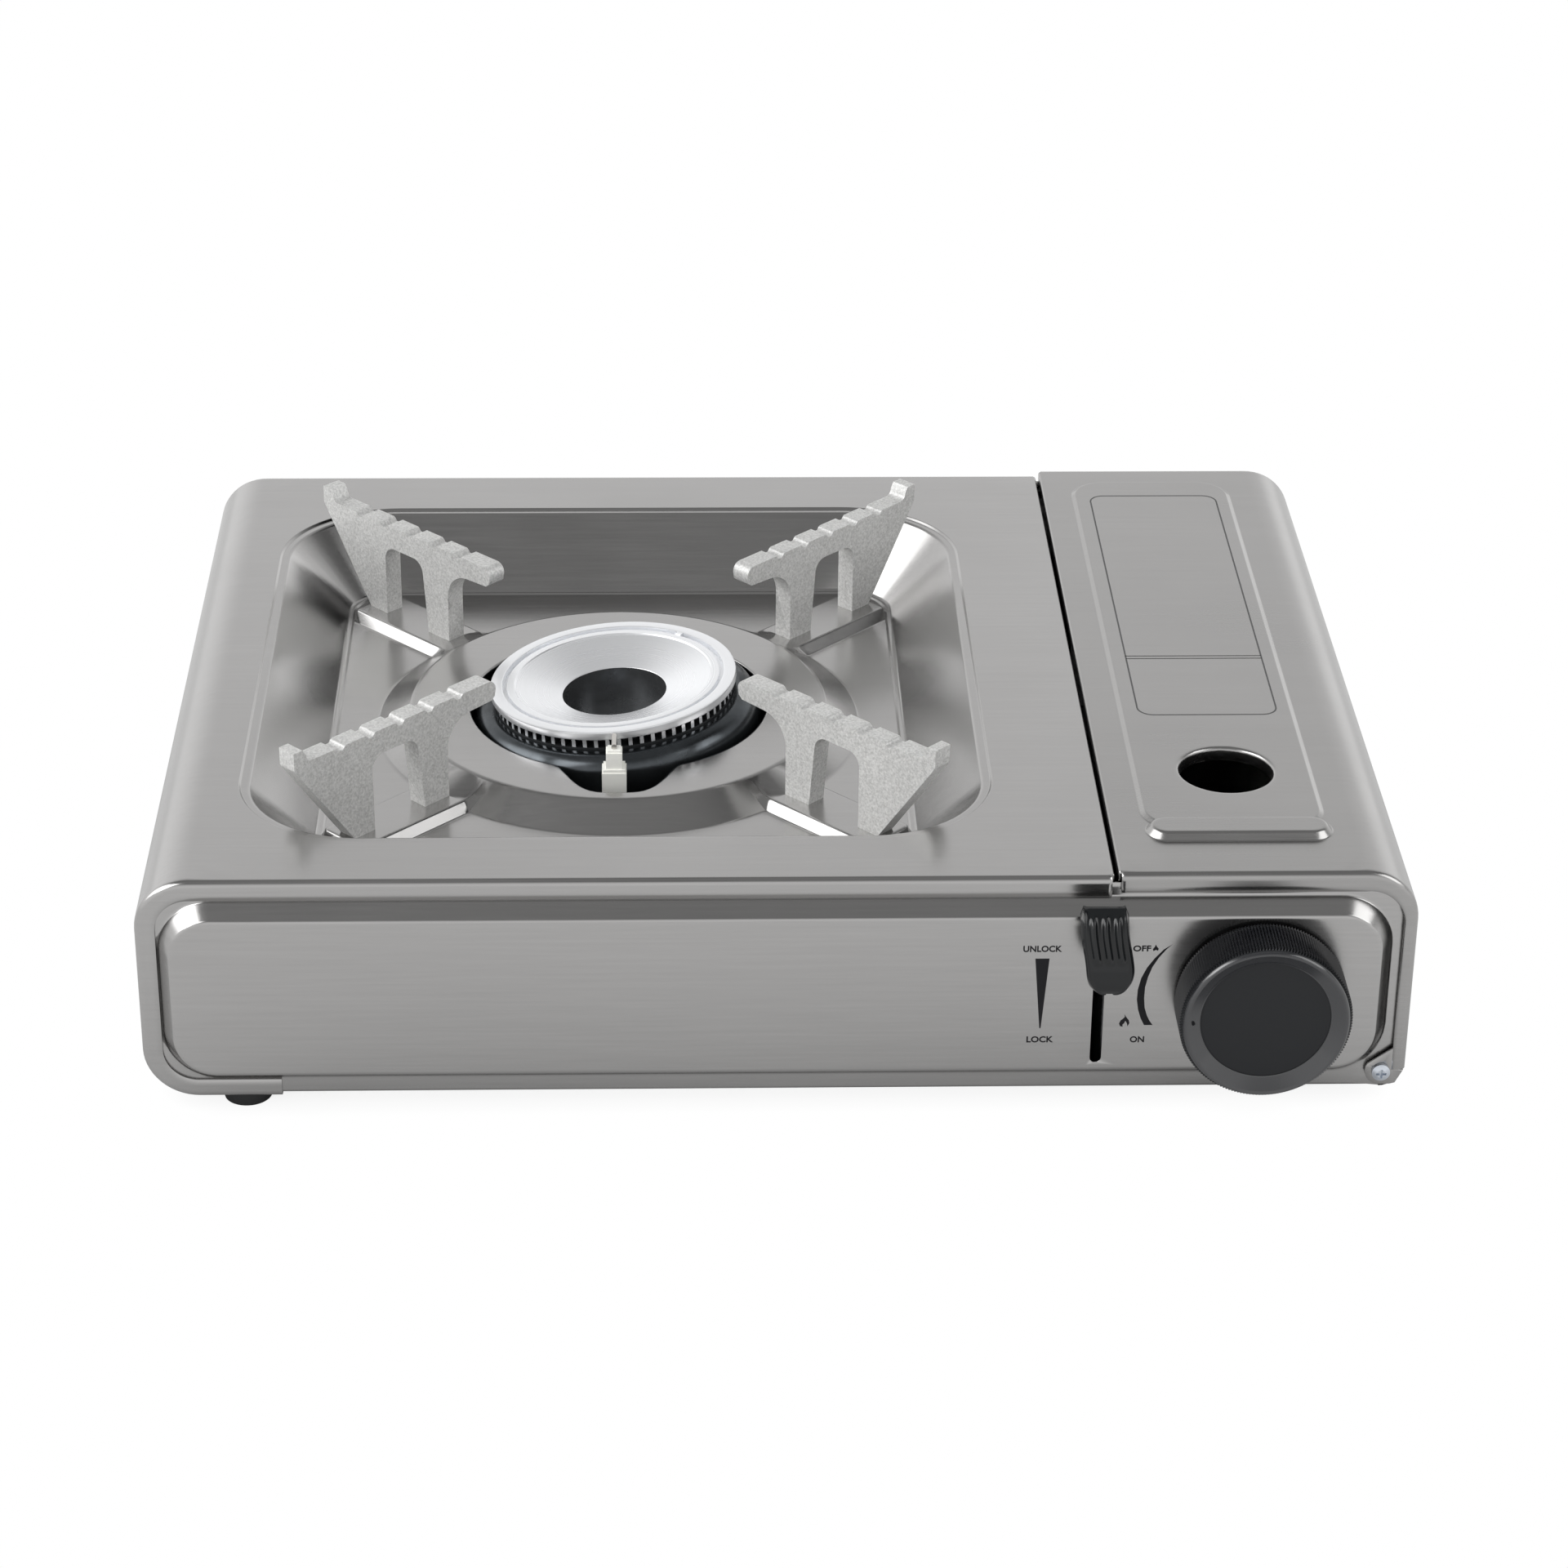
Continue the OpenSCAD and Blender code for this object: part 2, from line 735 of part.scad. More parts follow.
module cartridge_lid() in_frame() color(steel) {
    finger_at = [finger_x, -flange_y + finger_y, 0];
    difference() {
        union() {
            upright(-lid_y + bend_r, 2 * (lid_y - bend_r)) difference() {
                lid_profile(0);
                difference() {
                    lid_profile(sheet_t);
                    translate([0, -50]) square([lid_start - 1, 200]);
                }
            }
            front_and_rear() lid_rim();
            panel_pad();
            grip_pad();
            // Edge turned down along the split
            translate([lid_start, -lid_y + bend_r, lid_h - lid_edge_h])
                cube([sheet_t, 2 * (lid_y - bend_r), lid_edge_h]);
            translate([0, 0, lid_h + panel_rise - sheet_t - finger_lip] + finger_at)
                cylinder(h = finger_lip + sheet_t, d = finger_d + 2 * sheet_t);
        }
        translate([0, 0, -sheet_t]) {
            difference() {
                panel_pad();
                translate([0, 0, lid_h - 1] + finger_at)
                    cylinder(h = 5, d = finger_d + 2 * sheet_t);
            }
            grip_pad();
        }
        translate([0, 0, lid_h - 10] + finger_at) cylinder(h = 20, d = finger_d);
    }
}

/* ---- Walls and feet inside the case ---- */

gas_end = [gas_x, -flange_y + 17.5];
gas_dir = [gas_end[0] - burner_x, gas_end[1] - recess_y];
gas_a = atan2(gas_dir[1], gas_dir[0]);
gas_len = norm(gas_dir);

// Lays +Z along the gas line, from under the burner towards the regulator
module along_gas() {
    translate([burner_x, recess_y, gas_z]) rotate([0, 0, gas_a]) rotate([0, 90, 0]) children();
}

lead_d = 2.4;
lead_z = 6;
lead_y = -92;
crank_pin_d = 4;
lever_pin_d = 5;
rail_z = 14;
rail_h = 8;
rail_t = 1.2;
rail_x = partition_x + sheet_t + 0.8;
rivet_d = 3;
rivet_ys = [-60, 70];

partition_foot = 10;
lead_notch_w = 6;
lead_notch_h = 9;
flare = 6;
flare_out = 1.2;
slot_room = 5;

module partition_wall() in_frame() color(steel) {
    depth = 2 * (wall_y - sheet_t - seat_gap);
    difference() {
        union() {
            translate([partition_x, -depth / 2, sheet_t])
                cube([sheet_t, depth, wall_top - sheet_t]);
            translate([partition_x - partition_foot, -depth / 2 + 4 * partition_foot, sheet_t])
                cube([partition_foot + eps, depth - 5 * partition_foot, sheet_t]);
        }
        along_gas() cylinder(h = gas_len, d = tube_d + 2);
        translate([partition_x - partition_foot - 2, lead_y - lead_notch_w / 2, 0])
            cube([partition_foot + 4, lead_notch_w, lead_notch_h]);
        // Slot for the crank pin and hole for the lever's pivot pin
        sideways(partition_x - 1, 4) {
            bar([lever_y + 1, lever_z + crank_len], [lever_y - stroke - 1, lever_z + crank_len - 3],
                crank_pin_d + slot_room);
            translate([lever_y, lever_z]) circle(d = lever_pin_d + 2 * seat_gap);
            for (y = rivet_ys) translate([y, rail_z]) circle(d = rivet_d + 2 * seat_gap);
        }
    }
}

foot_screw_d = 7;
foot_screw_in = 2.6;
thread_d = 4;

module rubber_feet() in_frame() color(rubber) {
    foot_places() difference() {
        translate([0, 0, -foot_h]) cylinder(h = foot_h + shell_z0, d1 = foot_d - 2, d2 = foot_d);
        translate([0, 0, -foot_h - 1]) cylinder(h = foot_h + 2, d = foot_hole_d);
        translate([0, 0, -foot_h - 1]) cylinder(h = foot_screw_in + 1, d = foot_screw_d + 1);
    }
    // Packing washers that bring the right feet up to the tray
    for (p = right_feet) translate([p[0], p[1], shell_z0])
        difference() {
            cylinder(h = -shell_z0, d = foot_d);
            translate([0, 0, -1]) cylinder(h = 3, d = foot_hole_d);
        }
}

module pan_screw(d, len, head_d, head_h) {
    cylinder(h = len, d = d);
    translate([0, 0, -head_h]) intersection() {
        cylinder(h = head_h, d = head_d);
        translate([0, 0, head_d * 0.8 - 0.2]) sphere(d = head_d * 1.6);
    }
}

module cross_recess(head_h) {
    for (a = [0, 90]) rotate(a)
        translate([-1.5, -0.35, -head_h - eps]) cube([3, 0.7, head_h * 0.6]);
}

module foot_screws() in_frame() color(zinc) {
    foot_places() translate([0, 0, -foot_h + foot_screw_in]) difference() {
        pan_screw(thread_d, foot_h + 0.6, foot_screw_d, 2);
        cross_recess(2);
    }
}

module hinge_screws() in_frame() color(zinc) {
    front_and_rear() translate([hinge_x, -lid_y - seat_gap, hinge_z]) rotate([-90, 0, 0])
        difference() {
            pan_screw(hinge_d, 6, 5.4, 1.9);
            cross_recess(1.9);
        }
}

/* ---- Pan supports ---- */

// Profile of a support: distance from the burner axis, height
tip_round = 3;
arch_r = 4.5;
arch_top = pan_z - 7.9;
fillet_r = 9.7;
foot_slope = [outleg_r + outleg_w, rib_z];

function tooth(r) = [
    [r + tooth_w / 2, pan_z], [r + tooth_w / 4, pan_z - tooth_drop],
    [r - tooth_w / 4, pan_z - tooth_drop], [r - tooth_w / 2, pan_z]
];
tooth_start = outer_r - 18;
teeth = [for (i = [0:4]) each tooth(tooth_start - i * tooth_pitch)];

module support_profile() {
    polygon(concat(
        arc([tip_r + tip_round, pan_z - tip_round], tip_round, 90, 180, 5),
        [[tip_r + 0.5, pan_z - 5.6], [tip_r + 2, pan_z - 6.6]],
        arc([leg_r - fillet_r, pan_z - 7 - fillet_r], fillet_r, 90, 0, 7),
        [[leg_r, rib_z], [leg_r + leg_w, rib_z]],
        arc([leg_r + leg_w + 2 + arch_r, arch_top - arch_r], arch_r, 180, 90, 5),
        arc([outleg_r - arch_r, arch_top - arch_r], arch_r, 90, 0, 5),
        [[outleg_r, rib_z], foot_slope, [outer_r - 0.6, pan_z - 2.1], [outer_r, pan_z - 1],
         [outer_r, pan_z + nib_h], [outer_r - 3.6, pan_z + nib_h]],
        arc([outer_r - 4.6 - 2, pan_z + 2], 2, 0, -90, 3),
        teeth
    ));
}

module pan_support(a) {
    translate([recess_x, recess_y, 0]) rotate(a) difference() {
        upright(-support_t / 2, support_t) support_profile();
        for (r = [leg_r + leg_w / 2, outleg_r + outleg_w / 2])
            translate([r, 0, rib_z - 1]) cylinder(h = 10, d = support_hole_d - 0.1);
    }
}

module pan_support_front_left() in_frame() color(cast) pan_support(225);
module pan_support_front_right() in_frame() color(cast) pan_support(315);
module pan_support_rear_left() in_frame() color(cast) pan_support(135);
module pan_support_rear_right() in_frame() color(cast) pan_support(45);

module support_screws() in_frame() color(zinc) {
    support_places() translate([0, 0, rib_z - sheet_t]) pan_screw(support_hole_d - 0.2, 8, 5, 1.8);
}

/* ---- Burner ---- */

// Seats a piece on the leaning burner: z = 0 is the top of the ring around it
module on_burner() {
    translate([burner_x, recess_y, ring_z]) rotate([0, -burner_lean, 0]) children();
}

ring_low = head_up - head_ring_t;
slot_low_z = ring_low - slot_h;
head_r = head_d / 2;
slot_r = head_r - 1.4;
seat_z = slot_low_z - 0.6;
slot_wall = 1.6;
well_low = -9;
well_t = 1.2;
bowl_r = bowl_d / 2;
bowl_low = -16.5;
burner_screw_d = 3;

module slot_ring_2d() {
    step = 360 / slot_count;
    polygon([for (i = [0:slot_count - 1]) each [
        for (k = [[-0.27, slot_r], [0.27, slot_r], [0.31, slot_r - slot_deep],
                  [0.69, slot_r - slot_deep]])
            k[1] * [cos((i + k[0]) * step), sin((i + k[0]) * step)]
    ]]);
}

module burner_head() in_frame() color(turned) on_burner() {
    well_r = well_d / 2;
    dish_z = head_up - 5.5;
    hole_r = burner_screw_d / 2 + seat_gap;
    rotate_extrude($fn = 96) polygon([
        [well_r, dish_z], [well_r, well_low + well_t], [hole_r, well_low + well_t],
        [hole_r, well_low], [well_r + 1.5, well_low], [well_r + 1.5, dish_z - 2],
        [head_r - 8, ring_low - 1.4],
        [head_r - 5, ring_low - 1.4], [head_r - 5, ring_low], [head_r - 0.4, ring_low],
        [head_r, ring_low + 0.4], [head_r, head_up - 0.5], [head_r - 0.5, head_up],
        [head_r - 3.6, head_up], [head_r - 3.8, head_up - 0.9], [head_r - 4.8, head_up - 0.9],
        [head_r - 5, head_up - 0.4], [head_r - 7.6, head_up - 0.4], [head_r - 8, head_up - 0.8]
    ]);
    translate([0, 0, slot_low_z]) linear_extrude(head_up - 1 - slot_low_z) difference() {
        slot_ring_2d();
        circle(r = slot_r - slot_deep - slot_wall);
    }
    translate([0, 0, seat_z]) linear_extrude(slot_low_z - seat_z) difference() {
        circle(r = slot_r + 0.2);
        circle(r = slot_r - slot_deep - slot_wall - 0.2);
    }
}

module burner_head_screws() in_frame() color(zinc) on_burner() {
    translate([0, 0, well_low + well_t]) mirror([0, 0, 1]) difference() {
        pan_screw(burner_screw_d, well_low - bowl_low - 2, 6.4, 2);
        cross_recess(2);
    }
}

module burner_bowl() in_frame() color(zinc) on_burner() {
    outer = concat(
        [[slot_r - 4.6, seat_z], [slot_r - 0.2, seat_z]],
        arc([bowl_r - 10, seat_z - 8.2], 10, 52, 0, 5),
        arc([bowl_r - 4, bowl_low + 4], 4, 0, -90, 5)
    );
    inner = [[12.5, bowl_low], [12.5, bowl_low + bowl_t]];
    back = concat(
        arc([bowl_r - 4, bowl_low + 4], 4 - bowl_t, -90, 0, 5),
        arc([bowl_r - 10, seat_z - 8.2], 10 - bowl_t, 0, 52, 5),
        [[slot_r - 4.6, seat_z - bowl_t]]
    );
    rotate_extrude($fn = 96) polygon(concat(outer, inner, back));
}

// Straight tube from the jet, closed under the burner, with a stub up into the bowl
module mixing_tube() in_frame() color(zinc) {
    r = tube_d / 2;
    mouth = gas_len - outlet_len - jet_len - flare;
    stub_r = 10;
    difference() {
        union() {
            along_gas() translate([0, 0, -stub_r - 2]) cylinder(h = mouth + stub_r + 2, r = r);
            along_gas() translate([0, 0, mouth]) cylinder(h = flare, r1 = r, r2 = r + flare_out);
            on_burner() {
                translate([0, 0, gas_z - ring_z]) cylinder(h = bowl_low + bowl_t + 1 + ring_z - gas_z,
                                                           r = stub_r);
                translate([0, 0, bowl_low - 1.6]) cylinder(h = 1.5, r = stub_r + 6);
            }
        }
        along_gas() translate([0, 0, -stub_r - 2 + tube_t])
            cylinder(h = mouth + stub_r + 2, r = r - tube_t);
        along_gas() translate([0, 0, mouth]) cylinder(h = flare + eps, r1 = r - tube_t,
                                                      r2 = r + flare_out - tube_t);
        on_burner() translate([0, 0, gas_z - ring_z]) cylinder(h = 12, r = stub_r - 2.4);
    }
}

strap_t = 1.5;
strap_half = 18;
strap_foot = 12;
strap_w = 20;
strap_off = 25;

// Folded strap that carries the mixing tube from the tray
module burner_bracket() in_frame() color(zinc) {
    top = gas_z - tube_d / 2;
    out = strap_half + strap_foot;
    translate([burner_x, recess_y, 0]) rotate(gas_a + 90) translate([0, -strap_off, 0])
        upright(-strap_w / 2, strap_w) difference() {
            union() {
                translate([-out, sheet_t]) square([2 * out, strap_t]);
                translate([-strap_half, sheet_t]) square([2 * strap_half, top - sheet_t]);
            }
            translate([strap_t - strap_half, 0])
                square([2 * (strap_half - strap_t), top - strap_t]);
        }
}

/* ---- Electrode ---- */

electrode_y = recess_y - electrode_out;
ceramic_low = 40;
ceramic_deep = 7;
ceramic_edge = 0.4;
wire_up = 0.8;
wire_tip = 5.9;
clip_low = 42;
clip_h = 4;
clip_t = 1;
clip_w = 6;
clip_foot = 12;

module electrode_ceramic() in_frame() color(ceramic) {
    translate([burner_x, electrode_y, 0]) difference() {
        union() {
            translate([-ceramic_w / 2, -ceramic_deep / 2, ceramic_low])
                cube([ceramic_w, ceramic_deep, ceramic_step_z - 1 - ceramic_low]);
            translate([0, 0, ceramic_step_z - 1]) linear_extrude(1)
                square([ceramic_w - 2 * ceramic_edge, ceramic_deep - 2 * ceramic_edge],
                       center = true);
            translate([-ceramic_top_w / 2, -ceramic_top_w / 2, ceramic_step_z])
                cube([ceramic_top_w, ceramic_top_w, ceramic_top_z - 0.7 - ceramic_step_z]);
            translate([0, 0, ceramic_top_z - 0.7]) linear_extrude(0.7)
                square(ceramic_top_w - 1, center = true);
        }
        translate([0, 0, ceramic_low - 1]) cylinder(h = ceramic_top_z, d = wire_d + seat_gap);
    }
}

module electrode_wire() in_frame() color(zinc) {
    top = ceramic_top_z + wire_up;
    translate([burner_x, electrode_y, 0]) {
        translate([0, 0, ceramic_low]) cylinder(h = top - ceramic_low, d = wire_d);
        translate([0, -wire_d / 2, top]) rotate([-90, 0, 0]) cylinder(h = wire_tip + wire_d,
                                                                    d = wire_d);
    }
}

module electrode_clip() in_frame() color(zinc) {
    w = ceramic_w / 2;
    d = ceramic_deep / 2;
    translate([burner_x, electrode_y, 0]) {
        translate([0, 0, clip_low]) linear_extrude(clip_h) difference() {
            translate([-w - clip_t, -d - clip_t]) square([2 * (w + clip_t), 2 * d]);
            translate([-w, -d]) square([2 * w, 2 * d + 2]);
        }
        translate([-clip_w / 2, -d - clip_t, sheet_t]) cube([clip_w, clip_t, clip_low - sheet_t]);
        translate([-clip_w / 2, -d - clip_t - clip_foot, sheet_t])
            cube([clip_w, clip_foot + eps, clip_t]);
    }
}

/* ---- Regulator and valve ---- */

bracket_y = -flange_y + 12;
bracket_t = 1.5;
bracket_left = 43;
bracket_w = 55;
bracket_h = 56;
bracket_foot_w = 42;
bracket_foot = 16;
drum_y = bracket_y + bracket_t;
drum_len = 24;
port_len = 8;
port_r = 11;
socket_d = 9;
cover_x = gas_x + drum_d / 2 + 1;
cover_r = 11;
cover_t = 1.6;
cover_screw_d = 2;
outlet_len = 30;
jet_len = 11;

module on_valve_axis(y) {
    translate([gas_x, y, valve_z]) rotate([-90, 0, 0]) children();
}

// Places of the four screws of the regulator's side cover
module cover_screw_places() {
    for (a = [45:90:315]) translate([cover_x, drum_y + drum_len / 2, valve_z])
        rotate([0, 90, 0]) rotate(a) translate([cover_r - 2.8, 0, 0]) children();
}

// Places of the two screws that hold the regulator to its bracket
module drum_screw_places(y) {
    on_valve_axis(y) for (a = [60, 240]) rotate(a) translate([drum_d / 2 - 6, 0, 0]) children();
}

module regulator_body() in_frame() color(zinc) {
    difference() {
        union() {
            on_valve_axis(drum_y) cylinder(h = drum_len, d = drum_d);
            on_valve_axis(drum_y + drum_len) cylinder(h = port_len, r = port_r);
            along_gas() translate([0, 0, gas_len - outlet_len])
                cylinder(h = outlet_len - 9, r = 7);
            translate([gas_x, drum_y + drum_len / 2, valve_z]) rotate([0, 90, 0])
                cylinder(h = cover_x - gas_x, r = cover_r);
        }
        on_valve_axis(drum_y - 1) cylinder(h = 19, d = stem_d + 2 * run_fit);
        on_valve_axis(drum_y + drum_len + port_len - 9) cylinder(h = 10, d = socket_d);
        along_gas() translate([0, 0, gas_len - outlet_len - 1]) cylinder(h = 8, d = 5);
        cover_screw_places() translate([0, 0, -6]) cylinder(h = 7, d = cover_screw_d + 0.1);
        drum_screw_places(drum_y - 1) cylinder(h = 9, d = 3.1);
    }
}

module regulator_cover() in_frame() color(zinc) {
    difference() {
        translate([cover_x, drum_y + drum_len / 2, valve_z]) rotate([0, 90, 0])
            rotate_extrude() polygon([
                [0, 0], [cover_r, 0], [cover_r, cover_t], [6, cover_t], [5.2, 4.4],
                [2.6, 4.4], [2.6, 6.5], [0, 6.5]
            ]);
        cover_screw_places() translate([0, 0, -1]) cylinder(h = 4, d = cover_screw_d + 0.2);
    }
}

module regulator_cover_screws() in_frame() color(zinc) {
    cover_screw_places() translate([0, 0, cover_t]) mirror([0, 0, 1])
        pan_screw(cover_screw_d, 6, 3.6, 1.2);
}

module gas_jet() in_frame() color(brass) {
    along_gas() translate([0, 0, gas_len - outlet_len - jet_len]) difference() {
        union() {
            cylinder(h = 4, r1 = 1.6, r2 = 3);
            translate([0, 0, 4]) cylinder(h = 4, r = 3);
            translate([0, 0, 8]) cylinder(h = jet_len - 8, r = 4.6, $fn = 6);
            translate([0, 0, jet_len]) cylinder(h = 5, d = 4.9);
        }
        translate([0, 0, -1]) cylinder(h = jet_len + 8, d = 0.8);
    }
}

guide_half = 21;
guide_h = 58;
guide_t = 1.5;
guide_foot = 8;
tongue = [6, 5.5, 2];

module cartridge_guide() in_frame() color(steel) {
    y0 = drum_y + drum_len + port_len - 2.6;
    difference() {
        union() {
            translate([gas_x - guide_half, y0, sheet_t])
                cube([2 * guide_half, guide_t, guide_h]);
            translate([gas_x - guide_half, y0 - guide_foot, sheet_t])
                cube([2 * guide_half, guide_foot + eps, guide_t]);
            // Tongue that the notch of the cartridge's collar takes
            translate([gas_x - tongue[0] / 2, y0, valve_z + port_r + 4]) cube(tongue);
        }
        on_valve_axis(y0 - 1) cylinder(h = 4, r = port_r + 0.05);
    }
}

module regulator_bracket() in_frame() color(steel) {
    difference() {
        union() {
            translate([gas_x - bracket_left, bracket_y, sheet_t])
                cube([bracket_w, bracket_t, bracket_h]);
            translate([gas_x - bracket_left + bracket_w - bracket_foot_w, bracket_y, sheet_t])
                cube([bracket_foot_w, bracket_foot, bracket_t]);
        }
        // Notch for the ignition lead
        translate([gas_x - bracket_left - 1, bracket_y - 1, 0])
            cube([lead_top[0] + 4 - gas_x + bracket_left, bracket_t + 2, valve_z - 15]);
        on_valve_axis(bracket_y - 1) cylinder(h = 4, d = stem_d + 4);
        drum_screw_places(bracket_y - 1) cylinder(h = 4, d = 3.4);
    }
}

module regulator_screws() in_frame() color(zinc) {
    drum_screw_places(bracket_y) pan_screw(3, 8.5, 5.6, 1.8);
}

stem_y1 = drum_y + 17.5;
knob_y0 = -face_y - knob_gap;
knob_grip = 9;

module valve_stem() in_frame() color(brass) {
    y0 = knob_y0 - knob_grip + 0.5;
    on_valve_axis(y0) cylinder(h = stem_y1 - y0, d = stem_d);
}

cam_t = 5;
cam_y = bracket_y - 8;
cam_turn = knob_back + knob_on;

// Cam radius at angle a: it rises steadily as the knob turns on
function cam_at(a) = cam_r + cam_rise * (180 + knob_back - a) / cam_turn;

module igniter_cam() in_frame() color(black) {
    translate([gas_x, 0, valve_z]) upright(cam_y, cam_t) difference() {
        polygon(concat(
            [for (a = [180 - knob_on - 6:3:180 + knob_back + 6]) cam_at(a) * [cos(a), sin(a)]],
            [for (a = [192 + knob_back:12:528 - knob_on]) (cam_r - 1.5) * [cos(a), sin(a)]]
        ));
        circle(d = stem_d + 0.1);
    }
}

module control_knob() in_frame() color(black) {
    r = knob_d / 2;
    ridge = 360 / knob_ridges;
    on_valve_axis(knob_y0) mirror([0, 0, 1]) difference() {
        union() {
            linear_extrude(knob_len - 1.6) polygon([for (i = [0:knob_ridges - 1]) each [
                for (k = [[0, r], [0.5, r - 0.5]])
                    k[1] * [cos((i + k[0]) * ridge), sin((i + k[0]) * ridge)]
            ]]);
            rotate_extrude($fn = 96) polygon([
                [0, knob_len - 3], [r - 0.7, knob_len - 3], [r - 0.7, knob_len - 1.1],
                [r - 1.3, knob_len], [r - 1.9, knob_len], [r - 6, knob_len - 2.7],
                [r - 6.4, knob_len - 2.4], [0, knob_len - 2.4]
            ]);
        }
        translate([0, 0, -1]) cylinder(h = knob_grip + 1, d = stem_d + 0.1);
        translate([0, 0, -1]) rotate_extrude() translate([stem_d / 2 + 3, 0])
            square([r - stem_d / 2 - 6, 9]);
        // Pointer dot, at nine o'clock in the shown place
        translate([-(r - 3.4), 0, knob_len - 2.2]) cylinder(h = 4, d = 1.2);
    }
}

igniter_len = 22;
igniter_x = gas_x - cam_at(180) - igniter_len - 4.6;
igniter_h = 12;
igniter_w = 10.4;
igniter_nose = 2.2;
plunger_w = 6;
plunger_play = 0.35;
plunger_tip = 2;
bore_x = igniter_x + 8;

module igniter_body() in_frame() color(black) {
    y = bracket_y - igniter_w;
    difference() {
        union() {
            sideways(igniter_x, igniter_len)
                rounded_box(y, bracket_y, valve_z - igniter_h / 2, valve_z + igniter_h / 2, 1.5);
            sideways(igniter_x - igniter_nose, igniter_nose + eps)
                rounded_box(y + 2, bracket_y - 2, valve_z - 4, valve_z + 4, 1.5);
        }
        bore = plunger_w + 2 * plunger_play;
        translate([bore_x, cam_y + cam_t / 2 - bore / 2, valve_z - bore / 2])
            cube([igniter_len, bore, bore]);
    }
}

module igniter_plunger() in_frame() color(ceramic) {
    y = cam_y + cam_t / 2;
    tip_x = gas_x - cam_at(180) - plunger_play - plunger_tip;
    back_x = bore_x + cam_rise;
    translate([back_x, y - plunger_w / 2, valve_z - plunger_w / 2])
        cube([tip_x - back_x, plunger_w, plunger_w]);
    translate([tip_x, y, valve_z]) sphere(r = plunger_tip);
}

// Route of the ignition lead: down from the igniter, through the notch in the partition,
// across the floor in a slack bow and up to the electrode
lead_top = [igniter_x + 2.8, bracket_y - igniter_w / 2 - 0.3, valve_z - igniter_h / 2];
lead_exit = [partition_x - 0.8, lead_y, lead_z];
lead_foot = [burner_x, electrode_y, lead_z];
lead_slack = 11;
lead_rise = 10;
lead_route = concat(
    [for (p = [[0, 0, 0], [0, 0, -7], [0, 1, -17], [0, 8, lead_z - lead_top[2]],
               [0, 20, lead_z - lead_top[2]], [0, 32, lead_z - lead_top[2]]]) lead_top + p],
    [lead_exit + [6, -4, 0]],
    [for (t = [0, 0.08, 0.18, 0.31, 0.46, 0.62, 0.76, 0.88])
        lead_exit + t * (lead_foot - lead_exit) - [0, lead_slack * sin(180 * t), 0]],
    [lead_foot + [7, -3.5, 2], lead_foot + [1.5, -0.4, lead_rise]],
    [for (z = [lead_rise * 2, lead_rise * 2.8, ceramic_low - lead_z - 0.1])
        lead_foot + [0, 0, z]]
);

function unit(v) = v / norm(v);
function lead_dir(i) = let (n = len(lead_route) - 1)
    unit(lead_route[min(n, i + 1)] - lead_route[max(0, i - 1)]);

module ignition_lead() in_frame() color(black) {
    sides = 8;
    n = len(lead_route);
    ref = [for (i = [0:n - 1]) lead_frame(i)];
    points = [for (i = [0:n - 1], k = [0:sides - 1]) let (a = 360 * k / sides)
        lead_route[i] + lead_d / 2 * (cos(a) * ref[i] + sin(a) * cross(lead_dir(i), ref[i]))];
    faces = concat(
        [[for (k = [0:sides - 1]) k]],
        [for (i = [0:n - 2], k = [0:sides - 1]) let (a = i * sides, b = (k + 1) % sides)
            each [[a + k, a + sides + k, a + b], [a + b, a + sides + k, a + sides + b]]],
        [[for (k = [sides - 1:-1:0]) (n - 1) * sides + k]]
    );
    polyhedron(points, faces, convexity = 6);
}

// A direction square to the lead that turns with it from point to point
function lead_frame(i) = i == 0 ? [1, 0, 0]
    : let (t = lead_dir(i), p = lead_frame(i - 1)) unit(p - (p * t) * t);

/* ---- Lock lever and cartridge carriage ---- */

tab_back = -face_y - 2;
crank = [lever_y, lever_z + crank_len];
arm_end = [tab_back - 6, lever_z + 36];

// Outline of the lever plate in Y and Z
module lever_plate(grow = 0) {
    pivot = [lever_y, lever_z];
    translate(pivot) circle(d = lever_pin_d + 8 + 2 * grow);
    bar(pivot, crank, 8 + 2 * grow);
    bar(pivot, arm_end, 6.6 + 2 * grow);
}

module lever_arm() in_frame() color(black) {
    hub_x = lever_x - 2.3;
    difference() {
        union() {
            sideways(lever_x - lever_t / 2, lever_t) lever_plate();
            sideways(hub_x, partition_x - 0.4 - hub_x)
                translate([lever_y, lever_z]) circle(d = lever_pin_d + 5);
            sideways(lever_x, rail_x + rail_t + 1 - lever_x) translate(crank)
                circle(d = crank_pin_d);
        }
        sideways(hub_x - 1, 8) translate([lever_y, lever_z]) circle(d = lever_pin_d + 2 * run_fit);
    }
}

// Side profile of the thumb tab: it curls out and down from the face
module tab_side() {
    z = lever_z + 52;
    polygon([
        [tab_back, z - 1], [tab_back - 1.2, z + 0.6], [tab_back - 3.4, z + 0.6],
        [tab_back - 6.4, z - 2], [tab_back - 9.4, z - 6.4], [tab_back - 11.6, z - 11.6],
        [tab_back - 12.6, z - 16.6], [tab_back - 12.6, z - 20.6], [tab_back - 11.6, z - 22.4],
        [tab_back - 9.6, z - 22.8], [tab_back - 7.6, z - 22.2], [tab_back - 6.6, z - 20],
        [tab_back - 5, z - 13], [tab_back - 3, z - 8], [tab_back, z - 4.6]
    ]);
}

